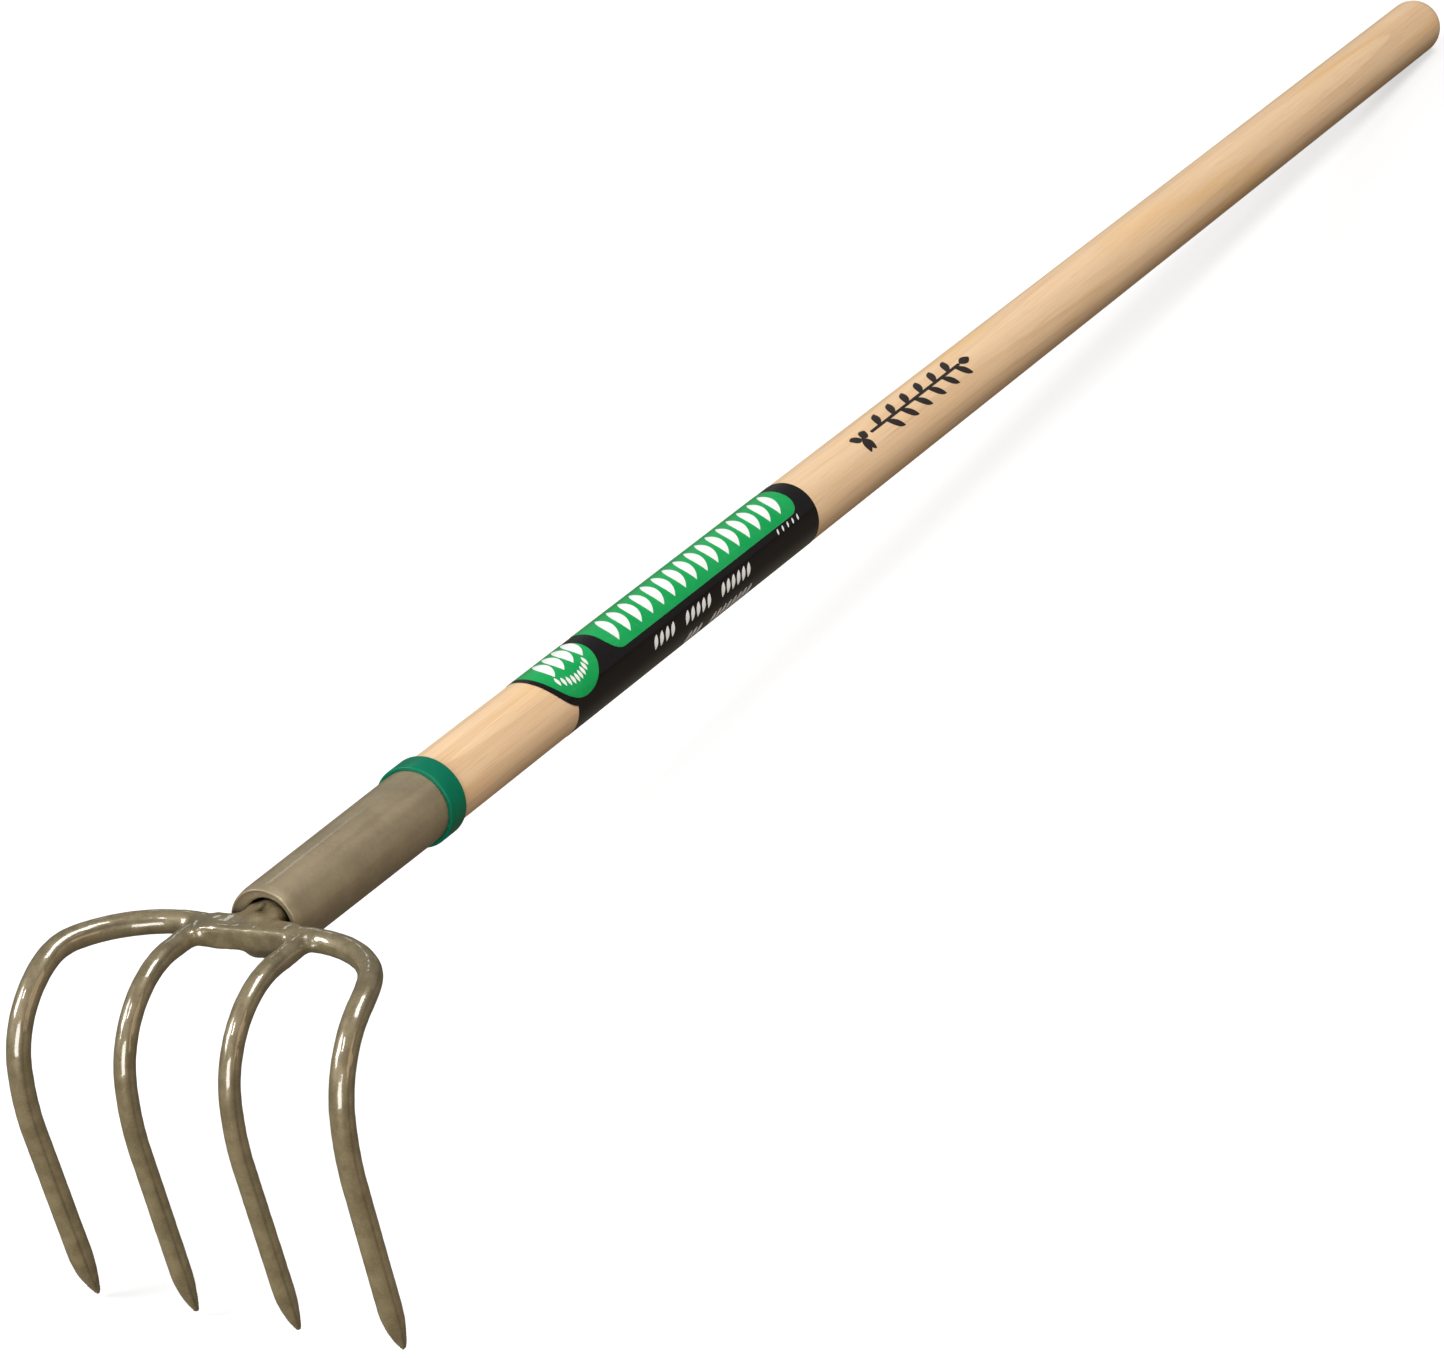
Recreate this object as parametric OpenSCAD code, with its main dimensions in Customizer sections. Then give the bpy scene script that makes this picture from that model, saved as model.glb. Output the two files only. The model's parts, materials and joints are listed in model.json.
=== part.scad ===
// Long-handled garden cultivator: a forged four-tine head whose tang is driven
// into a round wooden handle, held by a tapered steel ferrule and a collar.
// It lies on the ground on its four points and the butt of the handle.

/* [Handle] */
// Diameter of the round handle
handle_d = 32; // [30:0.5:36]
// Length of the handle from the ferrule's mouth to the end of the butt
grip_length = 1185; // [900:1:1420]
// Distance from the ferrule's front lip to the end of the handle's turned-down spigot
spigot_inset = 35.4; // [18:0.1:45]

/* [Label] */
// Distance from the ferrule's mouth to the printed wrap
label_start = 99; // [60:0.5:140]
// Length of the printed wrap
label_length = 231; // [150:1:300]
// Thickness of the wrap's film
label_film = 0.15; // [0.1:0.05:0.2]

/* [Ferrule] */
// Gap between the crosshead's rear face and the ferrule's front lip
ferrule_gap = 3; // [2.8:0.1:8]
// Length of the ferrule
ferrule_length = 127.4; // [102:0.1:157]
// Amount by which the ferrule's mouth is wider than the handle
ferrule_step = 0.4; // [0.2:0.1:4]
// Amount by which the ferrule is narrower behind its rounded nose than at its mouth
ferrule_taper = 1.4; // [0.4:0.1:3]
// Wall of the ferrule
ferrule_wall = 1.5; // [1:0.1:2]
// Diameter of the opening in the ferrule's nose
opening_d = 20; // [18:0.2:21.4]
// Outer radius of the rounded nose
nose_r = 3; // [2:0.1:4.4]
// Thickness of the nose's front, measured along the handle
nose_depth = 4; // [2:0.5:6]
// Diameter of the pin that locks the ferrule to the handle
pin_d = 4; // [3:0.5:5]
// Length of the pin below its head
pin_length = 10; // [6:0.5:11]
// Distance from the ferrule's mouth to the pin
pin_setback = 52; // [30:1:58]

/* [Collar] */
// Width of the collar along the handle
collar_width = 12; // [8:0.5:24]
// Wall of the collar
collar_wall = 1.6; // [1:0.1:3]

/* [Tang] */
// Diameter of the forged neck where the tang leaves the head
neck_d = 16; // [12:0.5:17]
// Diameter of the tang where it enters the handle
tang_d = 11; // [8:0.5:12]
// Diameter of the tang at its far end
tang_end_d = 7; // [5:0.5:8]
// Length of tang inside the handle
tang_grip = 65; // [50:1:80]

/* [Tines] */
// Height of the head's centre line above the points, square to the handle
tine_drop = 151.4; // [110:0.1:190]
// Diameter of the two outer tines
outer_d = 9.8; // [8:0.1:11.5]
// Diameter of the two inner tines
inner_d = 8.7; // [7:0.1:10.5]
// Distance from the middle of the head to an inner tine
inner_offset = 23.4; // [20:0.1:29]
// Radius of the outer tines' shoulder bend, seen from above
shoulder_r = 44; // [34:0.5:53]
// Angle by which the outer arms first lean back towards the handle
shoulder_lean = 15; // [0:1:25]
// Angle by which the outer tines still spread when they turn down
tine_spread = 5; // [0:1:12]
// Length of an outer tine, from the crosshead's middle block, before it hooks
outer_run = 60.5; // [50:0.5:72]
// Length of an inner tine, from its root, before it hooks
inner_run = 13; // [8:0.5:20]
// Radius of the hook
hook_r = 40; // [32:0.5:48]
// Angle that the hook's tight bend turns through
hook_sweep = 88; // [75:1:90]
// Radius of the gentle bend below the hook
ease_r = 105; // [80:1:140]
// Angle by which the tines rake back towards the handle
tine_rake = 14; // [5:1:20]
// Length of the forged point
point_length = 26; // [16:1:40]
// Share of a tine's radius by which its point sits towards the handle's side
point_lean = 0.5; // [0:0.05:0.8]

/* [Crosshead] */
// Width of the crosshead's middle block across the tines
block_width = 34; // [28:1:40]
// Size of the crosshead along the handle
block_depth = 13.6; // [11:0.1:17]
// Height of the crosshead
block_height = 9.4; // [7:0.1:12]
// Distance from the head's centre line back to the crosshead's rear face
block_rear = 3.4; // [2:0.1:5]
// Least distance from the inner tine's root to the cut where the outer tine starts
arm_stub = 0.4; // [0.3:0.05:1.5]
// Radius of the forged hub under and over the crosshead
hub_r = 8.4; // [7:0.1:9]

/* [Fits] */
// Radial clearance of the handle in the ferrule and of the tang in the handle
press_gap = 0.05; // [0.02:0.01:0.2]
// Radial clearance of the collar on the ferrule
collar_gap = 0.05; // [0.02:0.01:0.2]
// End clearance between the handle's shoulder and the ferrule's mouth
shoulder_gap = 0.2; // [0.1:0.1:1]

/* [Hidden] */

// Sides of a tine, and the spacing of its rings
tine_sides = 16;
ring_pitch = 5;
point_rings = 7;
// Radius left at a worn point, as a share of the tine's radius
point_blunt = 0.1;

// Stations along the handle, from the head's centre line
lip_y = ferrule_gap - block_rear;
mouth_y = lip_y + ferrule_length;
spigot_y = lip_y + spigot_inset;
pin_y = mouth_y - pin_setback;
label_y = mouth_y + label_start;
collar_y = mouth_y - collar_width;
butt_r = handle_d / 2;
butt_y = mouth_y + grip_length - butt_r;
tang_end_y = spigot_y + tang_grip;

// Diameters of the ferrule follow the handle's
ferrule_mouth_d = handle_d + ferrule_step;
ferrule_nose_d = ferrule_mouth_d - ferrule_taper;

// An outer arm starts at the middle block's end, an inner tine at the block's front.
arm_x = block_width / 2 - 2;
arm_y = -block_rear - outer_d / 2;
block_front_y = -block_rear - block_depth;
inner_y = block_front_y - 1;

// A tine is [root x, root y, first yaw, last yaw, bend radius seen from above, run before the
// hook, diameter]. Yaw turns from straight out sideways (0) to straight ahead (90).
OUTER = [arm_x, arm_y, -shoulder_lean, 90 - tine_spread, shoulder_r, outer_run, outer_d];
INNER = [inner_offset, inner_y, 90, 90, shoulder_r, inner_run, inner_d];

// Lengths of the hook's two bends
hook_length = hook_r * hook_sweep * PI / 180;
ease_length = ease_r * (90 + tine_rake - hook_sweep) * PI / 180;

function share(s, from, length) = max(0, min(1, (s - from) / length));
function yaw_at(t, s) =
    t[2] + (t[3] - t[2]) * share(s, 0, max(1, t[4] * (t[3] - t[2]) * PI / 180));
function pitch_at(t, s) =
    hook_sweep * share(s, t[5], hook_length)
    + (90 + tine_rake - hook_sweep) * share(s, t[5] + hook_length, ease_length);
function heading(yaw, pitch) = [cos(pitch) * cos(yaw), -cos(pitch) * sin(yaw), -sin(pitch)];
function upward(yaw, pitch) =
    [sin(pitch) * cos(yaw), -sin(pitch) * sin(yaw), cos(pitch)];
function heading_at(t, s) = heading(yaw_at(t, s), pitch_at(t, s));

// Stations [position, yaw, pitch, radius] of the bent length of a tine
function bent_length(t) = t[5] + hook_length + ease_length;
function bent_stations(t, from) =
    let (rings = ceil((bent_length(t) - from) / ring_pitch), step = (bent_length(t) - from) / rings)
    [for (i = 0, p = point_on(t, from); i <= rings;
          p = p + step * heading_at(t, from + (i + 0.5) * step), i = i + 1)
        [p, yaw_at(t, from + i * step), pitch_at(t, from + i * step), t[6] / 2]];

// Position at a short distance from a tine's root
function point_on(t, s, steps = 8) =
    s == 0 ? [t[0], t[1], 0]
           : [for (i = 0, p = [t[0], t[1], 0]; i <= steps;
                   p = p + s / steps * heading_at(t, (i + 0.5) * s / steps), i = i + 1) p][steps];

// Stations of the straight blade and the ogive point below the bends
function point_radius(r, share) = r * max(point_blunt, 1 - pow(share, 1.9));
function straight_stations(last) =
    let (dir = heading(last[1], last[2]),
         lean = -point_lean * upward(last[1], last[2]),
         r = last[3],
         rise = lean[2] * (r - point_radius(r, 1)),
         run = (last[0][2] + rise + tine_drop) / -dir[2],
         blade = run - point_length,
         rings = ceil(blade / (3 * ring_pitch)))
    concat(
        [for (i = [1:rings]) [last[0] + dir * blade * i / rings, last[1], last[2], r]],
        [for (i = [1:point_rings])
            let (f = i / point_rings, thin = point_radius(r, f))
            [last[0] + dir * (blade + point_length * f) + lean * (r - thin), last[1], last[2], thin]]);
function tine_stations(t, from) =
    let (bent = bent_stations(t, from))
    concat(bent, straight_stations(bent[len(bent) - 1]));

// One ring of points square to the tine at a station
function ring(st) =
    let (side = [sin(st[1]), cos(st[1]), 0],
         up = upward(st[1], st[2]))
    [for (k = [0:tine_sides - 1])
        let (a = 360 * (k + 0.5) / tine_sides)
        st[0] + st[3] * (cos(a) * side + sin(a) * up)];

// The outer tine starts at the first cut that leaves the inner tine's root behind it.
inner_corner = [inner_offset + inner_d / 2, inner_y, 0];
function root_gap(s) = (point_on(OUTER, s) - inner_corner) * heading(yaw_at(OUTER, s), 0);
arm_s = [for (s = [8:0.25:outer_run]) if (root_gap(s) >= arm_stub) s][0];

outer_stations = tine_stations(OUTER, arm_s);
inner_stations = tine_stations(INNER, 0);

// How the tool lies: its points and the round butt touch the ground together.
tip = outer_stations[len(outer_stations) - 1][0];
span = norm([butt_y - tip[1], tip[2]]);
ground_tilt = atan2(-tip[2], butt_y - tip[1]) - asin(butt_r / span);
ground_lift = butt_y * sin(ground_tilt) + butt_r;
function ground_y(p) = p[1] * cos(ground_tilt) + p[2] * sin(ground_tilt);
front_y = min([for (st = concat(outer_stations, inner_stations)) ground_y(st[0]) - st[3]]);
rear_y = butt_y * cos(ground_tilt) + butt_r;

// Moves a piece from the head's own axes to the ground
module lay_down() {
    translate([0, -(front_y + rear_y) / 2, ground_lift])
        rotate([-ground_tilt, 0, 0])
            children();
}

// Turns a profile of [radius, distance along the handle] about the handle's axis
module turned(profile) {
    rotate([-90, 0, 0])
        rotate_extrude($fn = 96)
            polygon(profile);
}

// A solid swept along a list of stations
module swept(stations) {
    n = len(stations);
    m = tine_sides;
    polyhedron(
        points = [for (st = stations) each ring(st)],
        faces = concat(
            [[for (k = [0:m - 1]) k]],
            [for (i = [0:n - 2], k = [0:m - 1])
                [i * m + k, (i + 1) * m + k, (i + 1) * m + (k + 1) % m, i * m + (k + 1) % m]],
            [[for (k = [m - 1:-1:0]) (n - 1) * m + k]]),
        convexity = 6);
}

// A thin slice of a tine's bar, for blending it into the crosshead
module slice(t, s) {
    thin = 0.01;
    start = point_on(t, s);
    yaw = yaw_at(t, s);
    back = [start - thin * heading(yaw, 0), yaw, 0, t[6] / 2];
    swept([back, [start, yaw, 0, t[6] / 2]]);
}

module tine_outer() {
    swept(outer_stations);
}

module tine_inner() {
    swept(inner_stations);
}

module tine_outer_left() {
    color([0.58, 0.53, 0.43]) lay_down() mirror([1, 0, 0]) tine_outer();
}

module tine_inner_left() {
    color([0.58, 0.53, 0.43]) lay_down() mirror([1, 0, 0]) tine_inner();
}

module tine_inner_right() {
    color([0.58, 0.53, 0.43]) lay_down() tine_inner();
}

module tine_outer_right() {
    color([0.58, 0.53, 0.43]) lay_down() tine_outer();
}

// Middle block with rounded long edges, ending in the two outer arms
module crosshead_block() {
    edge_r = 2.5;
    hull() {
        for (y = [block_front_y + edge_r, -block_rear - edge_r], z = [-1, 1])
            translate([-block_width / 2, y, z * (block_height / 2 - edge_r)])
                rotate([0, 90, 0])
                    cylinder(r = edge_r, h = block_width, $fn = 24);
    }
}

// One side of the crosshead: the outer arm and the inner tine's root
module crosshead_side() {
    hull() {
        slice(OUTER, 0);
        slice(OUTER, arm_s);
        slice(INNER, 0);
    }
}

// Forged swelling around the tang's root, cut flat where the tang starts
module crosshead_hub() {
    intersection() {
        translate([0, -block_rear - 2, -0.6])
            sphere(r = hub_r, $fn = 48);
        translate([-hub_r, -block_rear - 2 * hub_r, -2 * hub_r])
            cube([2 * hub_r, 2 * hub_r, 4 * hub_r]);
    }
}

module crosshead() {
    color([0.56, 0.51, 0.41]) lay_down() {
        crosshead_block();
        crosshead_side();
        mirror([1, 0, 0]) crosshead_side();
        crosshead_hub();
    }
}

// Tang profile, which the handle's pilot hole follows with a gap
nose_inside_y = lip_y + nose_depth;
function tang_r(y) =
    tang_d / 2 + (tang_end_d - tang_d) / 2 * share(y, spigot_y, tang_grip);

module tang() {
    color([0.5, 0.46, 0.38]) lay_down()
        turned([[0, -block_rear], [neck_d / 2, -block_rear], [neck_d / 2, nose_inside_y],
                [tang_d / 2, spigot_y], [tang_r(tang_end_y), tang_end_y], [0, tang_end_y]]);
}

// Radius of the ferrule's outside at a distance from the head
nose_y = lip_y + nose_r;
function ferrule_r(y) =
    ferrule_nose_d / 2 + (ferrule_mouth_d - ferrule_nose_d) / 2 * share(y, nose_y, mouth_y - nose_y);
function spigot_r(y) = ferrule_r(y) - ferrule_wall - press_gap;

module pin_hole(gap) {
    translate([0, pin_y, -ferrule_mouth_d])
        cylinder(d = pin_d + 2 * gap, h = ferrule_mouth_d - pin_tip_depth(), $fn = 48);
}
// Distance from the handle's axis to the pin's inner end
function pin_tip_depth() = ferrule_r(pin_y) - pin_length;

module ferrule() {
    nose_steps = 8;
    inner_r = ferrule_r(nose_y) - ferrule_wall;
    color([0.6, 0.55, 0.45]) lay_down() difference() {
        turned(concat(
            [[opening_d / 2, nose_inside_y], [opening_d / 2, lip_y]],
            [for (i = [0:nose_steps])
                let (a = 90 * i / nose_steps, r = ferrule_nose_d / 2 - nose_r)
                [r + nose_r * sin(a), nose_y - nose_r * cos(a)]],
            [[ferrule_r(mouth_y), mouth_y],
             [ferrule_r(mouth_y) - ferrule_wall, mouth_y],
             [inner_r, nose_y + nose_depth],
             [inner_r - 1.2, nose_inside_y + 1.2]]));
        pin_hole(press_gap);
    }
}

module ferrule_pin() {
    head_r = pin_d * 0.85;
    head_h = 1;
    color([0.45, 0.42, 0.36]) lay_down()
        translate([0, pin_y, 0]) rotate([180, 0, 0]) {
            translate([0, 0, pin_tip_depth()])
                cylinder(d = pin_d, h = pin_length, $fn = 48);
            translate([0, 0, ferrule_r(pin_y)])
                cylinder(r1 = head_r, r2 = head_r * 0.7, h = head_h, $fn = 48);
        }
}

module collar_ring() {
    inner_r = ferrule_mouth_d / 2 + collar_gap;
    outer_r = inner_r + collar_wall;
    edge = collar_wall * 0.4;
    color([0.0, 0.47, 0.35]) lay_down()
        turned([[inner_r, collar_y], [outer_r - edge, collar_y], [outer_r, collar_y + edge],
                [outer_r, collar_y + collar_width - edge], [outer_r - edge, collar_y + collar_width],
                [inner_r, collar_y + collar_width]]);
}

module handle() {
    dome_steps = 16;
    shoulder_y = mouth_y + shoulder_gap;
    color([0.88, 0.74, 0.56]) lay_down() difference() {
        turned(concat(
            [[0, spigot_y], [spigot_r(spigot_y), spigot_y], [spigot_r(mouth_y), mouth_y],
             [spigot_r(mouth_y), shoulder_y], [handle_d / 2, shoulder_y]],
            [for (i = [0:dome_steps])
                let (a = 90 * i / dome_steps)
                [butt_r * cos(a), butt_y + butt_r * sin(a)]]));
        turned([[0, spigot_y - 1], [tang_r(spigot_y) + press_gap, spigot_y - 1],
                [tang_r(spigot_y) + press_gap, spigot_y],
                [tang_r(tang_end_y) + press_gap, tang_end_y + 2], [0, tang_end_y + 2]]);
        pin_hole(0);
    }
}

module label_sleeve() {
    inner_r = handle_d / 2;
    color([0.14, 0.12, 0.13]) lay_down()
        turned([[inner_r, label_y], [inner_r + label_film, label_y],
                [inner_r + label_film, label_y + label_length], [inner_r, label_y + label_length]]);
}

tine_outer_left();
tine_inner_left();
tine_inner_right();
tine_outer_right();
crosshead();
tang();
ferrule();
ferrule_pin();
collar_ring();
handle();
label_sleeve();
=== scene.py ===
"""Looks of a long-handled garden cultivator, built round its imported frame.

Sizes are in metres. Round pieces are drawn in the handle's own axes, where X runs across the
tines, Y along the handle from the middle of the forged head to the butt, and Z up, and are then
laid on the ground with the handle.
"""
from __future__ import annotations

import json
import logging
import math
from dataclasses import dataclass, field
from enum import Enum
from typing import Callable, Optional, Sequence

import bmesh
import bpy
from mathutils import Matrix, Vector, kdtree, noise

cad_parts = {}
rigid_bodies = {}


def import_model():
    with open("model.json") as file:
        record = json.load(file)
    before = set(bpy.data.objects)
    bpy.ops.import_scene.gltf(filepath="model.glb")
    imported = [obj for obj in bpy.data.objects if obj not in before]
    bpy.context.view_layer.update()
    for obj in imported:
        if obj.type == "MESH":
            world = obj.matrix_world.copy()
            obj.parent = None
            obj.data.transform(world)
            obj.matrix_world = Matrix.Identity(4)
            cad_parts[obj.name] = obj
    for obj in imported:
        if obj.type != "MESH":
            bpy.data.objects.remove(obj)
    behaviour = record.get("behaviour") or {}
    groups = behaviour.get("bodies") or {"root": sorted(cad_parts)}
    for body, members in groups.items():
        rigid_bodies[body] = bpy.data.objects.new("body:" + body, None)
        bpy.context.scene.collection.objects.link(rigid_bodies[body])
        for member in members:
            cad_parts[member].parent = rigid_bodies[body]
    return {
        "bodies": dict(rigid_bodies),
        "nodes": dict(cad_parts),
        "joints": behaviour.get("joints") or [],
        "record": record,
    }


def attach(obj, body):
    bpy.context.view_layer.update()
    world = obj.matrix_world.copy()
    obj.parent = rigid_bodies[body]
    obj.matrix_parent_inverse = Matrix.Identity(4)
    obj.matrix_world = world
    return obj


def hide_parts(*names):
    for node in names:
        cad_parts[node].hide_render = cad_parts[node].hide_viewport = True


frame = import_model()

log = logging.getLogger("cultivator")
ROOT_BODY = "root"
Socket = bpy.types.NodeSocket


class MaterialSlot(Enum):
    """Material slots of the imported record."""

    HEAD_PAINT = "head_paint"
    TANG_STEEL = "tang_steel"
    FERRULE_PAINT = "ferrule_paint"
    PIN_STEEL = "pin_steel"
    COLLAR_GREEN = "collar_green"
    HANDLE_WOOD = "handle_wood"
    LABEL_FILM = "label_film"


class Side(Enum):
    """Sides of the head, as seen along the handle towards the butt."""

    LEFT = -1
    RIGHT = 1


# ----------------------------------------------------------------------------- node helpers


class NodeDesk:
    """Lays out and joins the nodes of one shader tree or node group."""

    def __init__(self, tree: bpy.types.NodeTree) -> None:
        """Starts an empty desk on a tree.

        Args:
            tree: The tree whose nodes are cleared and laid out anew.
        """
        self.tree = tree
        tree.nodes.clear()

    def add(self, kind: str, settings: Optional[dict] = None, **inputs: object) -> bpy.types.Node:
        """Adds a node, sets it up and feeds its inputs.

        Args:
            kind: The node's type without its "ShaderNode" prefix, or its full type.
            settings: Attributes set on the node itself.
            **inputs: Values or sockets for its inputs, with "_" for a space in a name and
                "i0", "i1" and so on for an input by its number.

        Returns:
            The new node.
        """
        full = kind if kind.startswith("Node") else "ShaderNode" + kind
        node = self.tree.nodes.new(full)
        for name, value in (settings or {}).items():
            setattr(node, name, value)
        for name, value in inputs.items():
            if name[0] == "i" and name[1:].isdigit():
                socket = node.inputs[int(name[1:])]
            else:
                socket = node.inputs[name.replace("_", " ")]
            if isinstance(value, bpy.types.NodeSocket):
                self.tree.links.new(value, socket)
            else:
                socket.default_value = value
        return node

    def maths(self, operation: str, first: object, second: object = 0.5,
              clamp: bool = False) -> Socket:
        """Joins two numbers with a Math node.

        Args:
            operation: The Math node's operation.
            first: First value or socket.
            second: Second value or socket.
            clamp: Whether the result is kept between 0 and 1.

        Returns:
            The result's socket.
        """
        node = self.add("Math", {"operation": operation, "use_clamp": clamp}, i0=first, i1=second)
        return node.outputs[0]

    def weigh(self, first: Socket, share: float, second: Socket, rest: float) -> Socket:
        """Adds a share of one number to a share of another."""
        scaled = self.maths("MULTIPLY", first, share)
        return self.maths("ADD", scaled, self.maths("MULTIPLY", second, rest))

    def blend(self, share: object, first: object, second: object) -> Socket:
        """Mixes two colours.

        Args:
            share: How much of the second colour, as a value or socket.
            first: First colour or socket.
            second: Second colour or socket.

        Returns:
            The mixed colour's socket.
        """
        node = self.add("Mix", {"data_type": "RGBA"}, i0=share, i6=first, i7=second)
        return node.outputs[2]

    def span(self, value: object, low: float, high: float, start: float = 0.0,
             end: float = 1.0) -> Socket:
        """Maps a range of values to another, clamped at both ends.

        Args:
            value: The value or socket to map.
            low: Value that becomes start.
            high: Value that becomes end.
            start: Result at low.
            end: Result at high.

        Returns:
            The mapped value's socket.
        """
        node = self.add("MapRange", {"interpolation_type": "SMOOTHSTEP"},
                        i0=value, i1=low, i2=high, i3=start, i4=end)
        return node.outputs[0]

    def noise(self, vector: Socket, scale: object, detail: float, rough: float) -> Socket:
        """Adds a noise pattern.

        Args:
            vector: Where the pattern is read.
            scale: Cells per unit, as a value or socket.
            detail: Octaves of finer noise.
            rough: Strength of the finer octaves.

        Returns:
            The pattern's value socket.
        """
        node = self.add("TexNoise", Vector=vector, Scale=scale, Detail=detail, Roughness=rough)
        return node.outputs["Fac"]

    def vectors(self, operation: str, first: object, **inputs: object) -> Socket:
        """Works on vectors with a Vector Math node.

        Args:
            operation: The node's operation.
            first: First vector or socket.
            **inputs: Its other inputs, as add takes them.

        Returns:
            The resulting vector's socket.
        """
        return self.add("VectorMath", {"operation": operation}, i0=first, **inputs).outputs[0]

    def stretch(self, vector: Socket, share: float) -> Socket:
        """Stretches a pattern along the handle, by shrinking its distances there to a share."""
        return self.add("Mapping", Vector=vector, Scale=(1.0, share, 1.0)).outputs[0]

    def relief(self, height: Socket, strength: float, distance: float) -> Socket:
        """Turns a height into a shading normal.

        Args:
            height: The height's socket.
            strength: How strongly it shows.
            distance: What a height of one stands for.

        Returns:
            The normal's socket.
        """
        node = self.add("Bump", Strength=strength, Distance=distance, Height=height)
        return node.outputs[0]


@dataclass(frozen=True)
class SharedEffect:
    """A named shader effect that several materials use, built once as a node group."""

    name: str
    numbers: tuple[tuple[str, float], ...]
    results: tuple[str, ...]
    wire: Callable[[NodeDesk, bpy.types.Node], dict[str, Socket]]

    def tree(self) -> bpy.types.NodeTree:
        """Returns the effect's node group, building it on first use."""
        known = bpy.data.node_groups.get(self.name)
        if known is not None:
            return known
        group = bpy.data.node_groups.new(self.name, "ShaderNodeTree")
        face = group.interface
        face.new_socket(name="Vector", in_out="INPUT", socket_type="NodeSocketVector")
        for name, value in self.numbers:
            made = face.new_socket(name=name, in_out="INPUT", socket_type="NodeSocketFloat")
            made.default_value = value
        for name in self.results:
            face.new_socket(name=name, in_out="OUTPUT", socket_type="NodeSocketFloat")
        desk = NodeDesk(group)
        source = desk.add("NodeGroupInput")
        sink = desk.add("NodeGroupOutput")
        for name, socket in self.wire(desk, source).items():
            group.links.new(socket, sink.inputs[name])
        return group

    def place(self, desk: NodeDesk, vector: Socket, **values: float) -> bpy.types.Node:
        """Places the effect in a material.

        Args:
            desk: The material's desk.
            vector: Where the effect reads its pattern.
            **values: Its numbers, with "_" for a space.

        Returns:
            The group node.
        """
        return desk.add("Group", {"node_tree": self.tree()}, Vector=vector, **values)


def wire_mottle(desk: NodeDesk, source: bpy.types.Node) -> dict[str, Socket]:
    """Wires uneven paint: broad clouds, fine speckle and a slight orange-peel height.

    Args:
        desk: The group's desk.
        source: Its input node.

    Returns:
        The sockets of its results.
    """
    vector, size = source.outputs["Vector"], source.outputs["Size"]
    broad = desk.noise(vector, size, 3.0, 0.6)
    fine = desk.noise(vector, desk.maths("MULTIPLY", size, 9.0), 4.0, 0.65)
    peel = desk.noise(vector, desk.maths("MULTIPLY", size, 16.0), 2.0, 0.5)
    clouds = desk.span(broad, 0.32, 0.68)
    speckle = desk.span(fine, 0.38, 0.72)
    tone = desk.weigh(clouds, 0.6, speckle, 0.4)
    height = desk.weigh(broad, 0.5, peel, 0.5)
    return {"Clouds": clouds, "Speckle": speckle, "Tone": tone, "Height": height}


def wire_handling(desk: NodeDesk, source: bpy.types.Node) -> dict[str, Socket]:
    """Wires handling marks: thin rubs along the piece and soft smudges.

    Args:
        desk: The group's desk.
        source: Its input node.

    Returns:
        The sockets of its results.
    """
    vector = source.outputs["Vector"]
    size = source.outputs["Size"]
    rubs = desk.noise(desk.stretch(vector, 0.06), desk.maths("MULTIPLY", size, 14.0), 5.0, 0.6)
    smudge = desk.noise(vector, size, 2.0, 0.5)
    return {"Rubs": desk.span(rubs, 0.56, 0.74), "Smudges": desk.span(smudge, 0.4, 0.65)}


MOTTLE = SharedEffect("uneven_coat", (("Size", 60.0),),
                      ("Clouds", "Speckle", "Tone", "Height"), wire_mottle)
HANDLING = SharedEffect("handling_marks", (("Size", 40.0),), ("Rubs", "Smudges"), wire_handling)
Colour = tuple[float, float, float, float]


@dataclass(frozen=True)
class HandleAxes:
    """The handle's own axes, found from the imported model.

    Attributes:
        place: Moves a point from the handle's axes to the ground's.
    """

    place: Matrix

    @classmethod
    def from_frame(cls, packed: dict, lip_gap: float) -> HandleAxes:
        """Finds the axes from the shaft's mount and the ferrule's front lip.

        Args:
            lip_gap: Distance from the middle of the head to the ferrule's lip.

        Returns:
            The axes.
        """
        shaft = next(m for m in packed["record"]["mounts"] if m["name"] == "handle_shaft")
        along = Vector(shaft["axis"]).normalized()
        point = Vector(shaft["pos_m"])
        lip = min((v.co - point).dot(along) for v in packed["nodes"]["ferrule"].data.vertices)
        across = Vector((1.0, 0.0, 0.0))
        upward = across.cross(along)
        place = Matrix((across, along, upward)).transposed().to_4x4()
        place.translation = point + along * (lip - lip_gap)
        return cls(place)

    def reach(self, node: bpy.types.Object) -> tuple[float, float]:
        """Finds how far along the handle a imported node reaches.

        Args:
            node: The node's object.

        Returns:
            Its first and last distance from the middle of the head.
        """
        back = self.place.inverted()
        stations = [(back @ v.co).y for v in node.data.vertices]
        return min(stations), max(stations)

    def tilt(self) -> float:
        """Returns the angle by which the handle slopes down to its butt."""
        return -math.asin(self.place.col[1].z)

    def local_vector(self, desk: NodeDesk) -> Socket:
        """Turns object coordinates into the handle's axes inside a material.

        Args:
            desk: The material's desk.

        Returns:
            The vector socket.
        """
        coords = desk.add("TexCoord").outputs["Object"]
        shift = self.place.inverted().translation
        turn = (self.tilt(), 0.0, 0.0)
        mapping = desk.add("Mapping", Vector=coords, Location=shift, Rotation=turn)
        return mapping.outputs[0]


# ----------------------------------------------------------------------------- finishes


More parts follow.
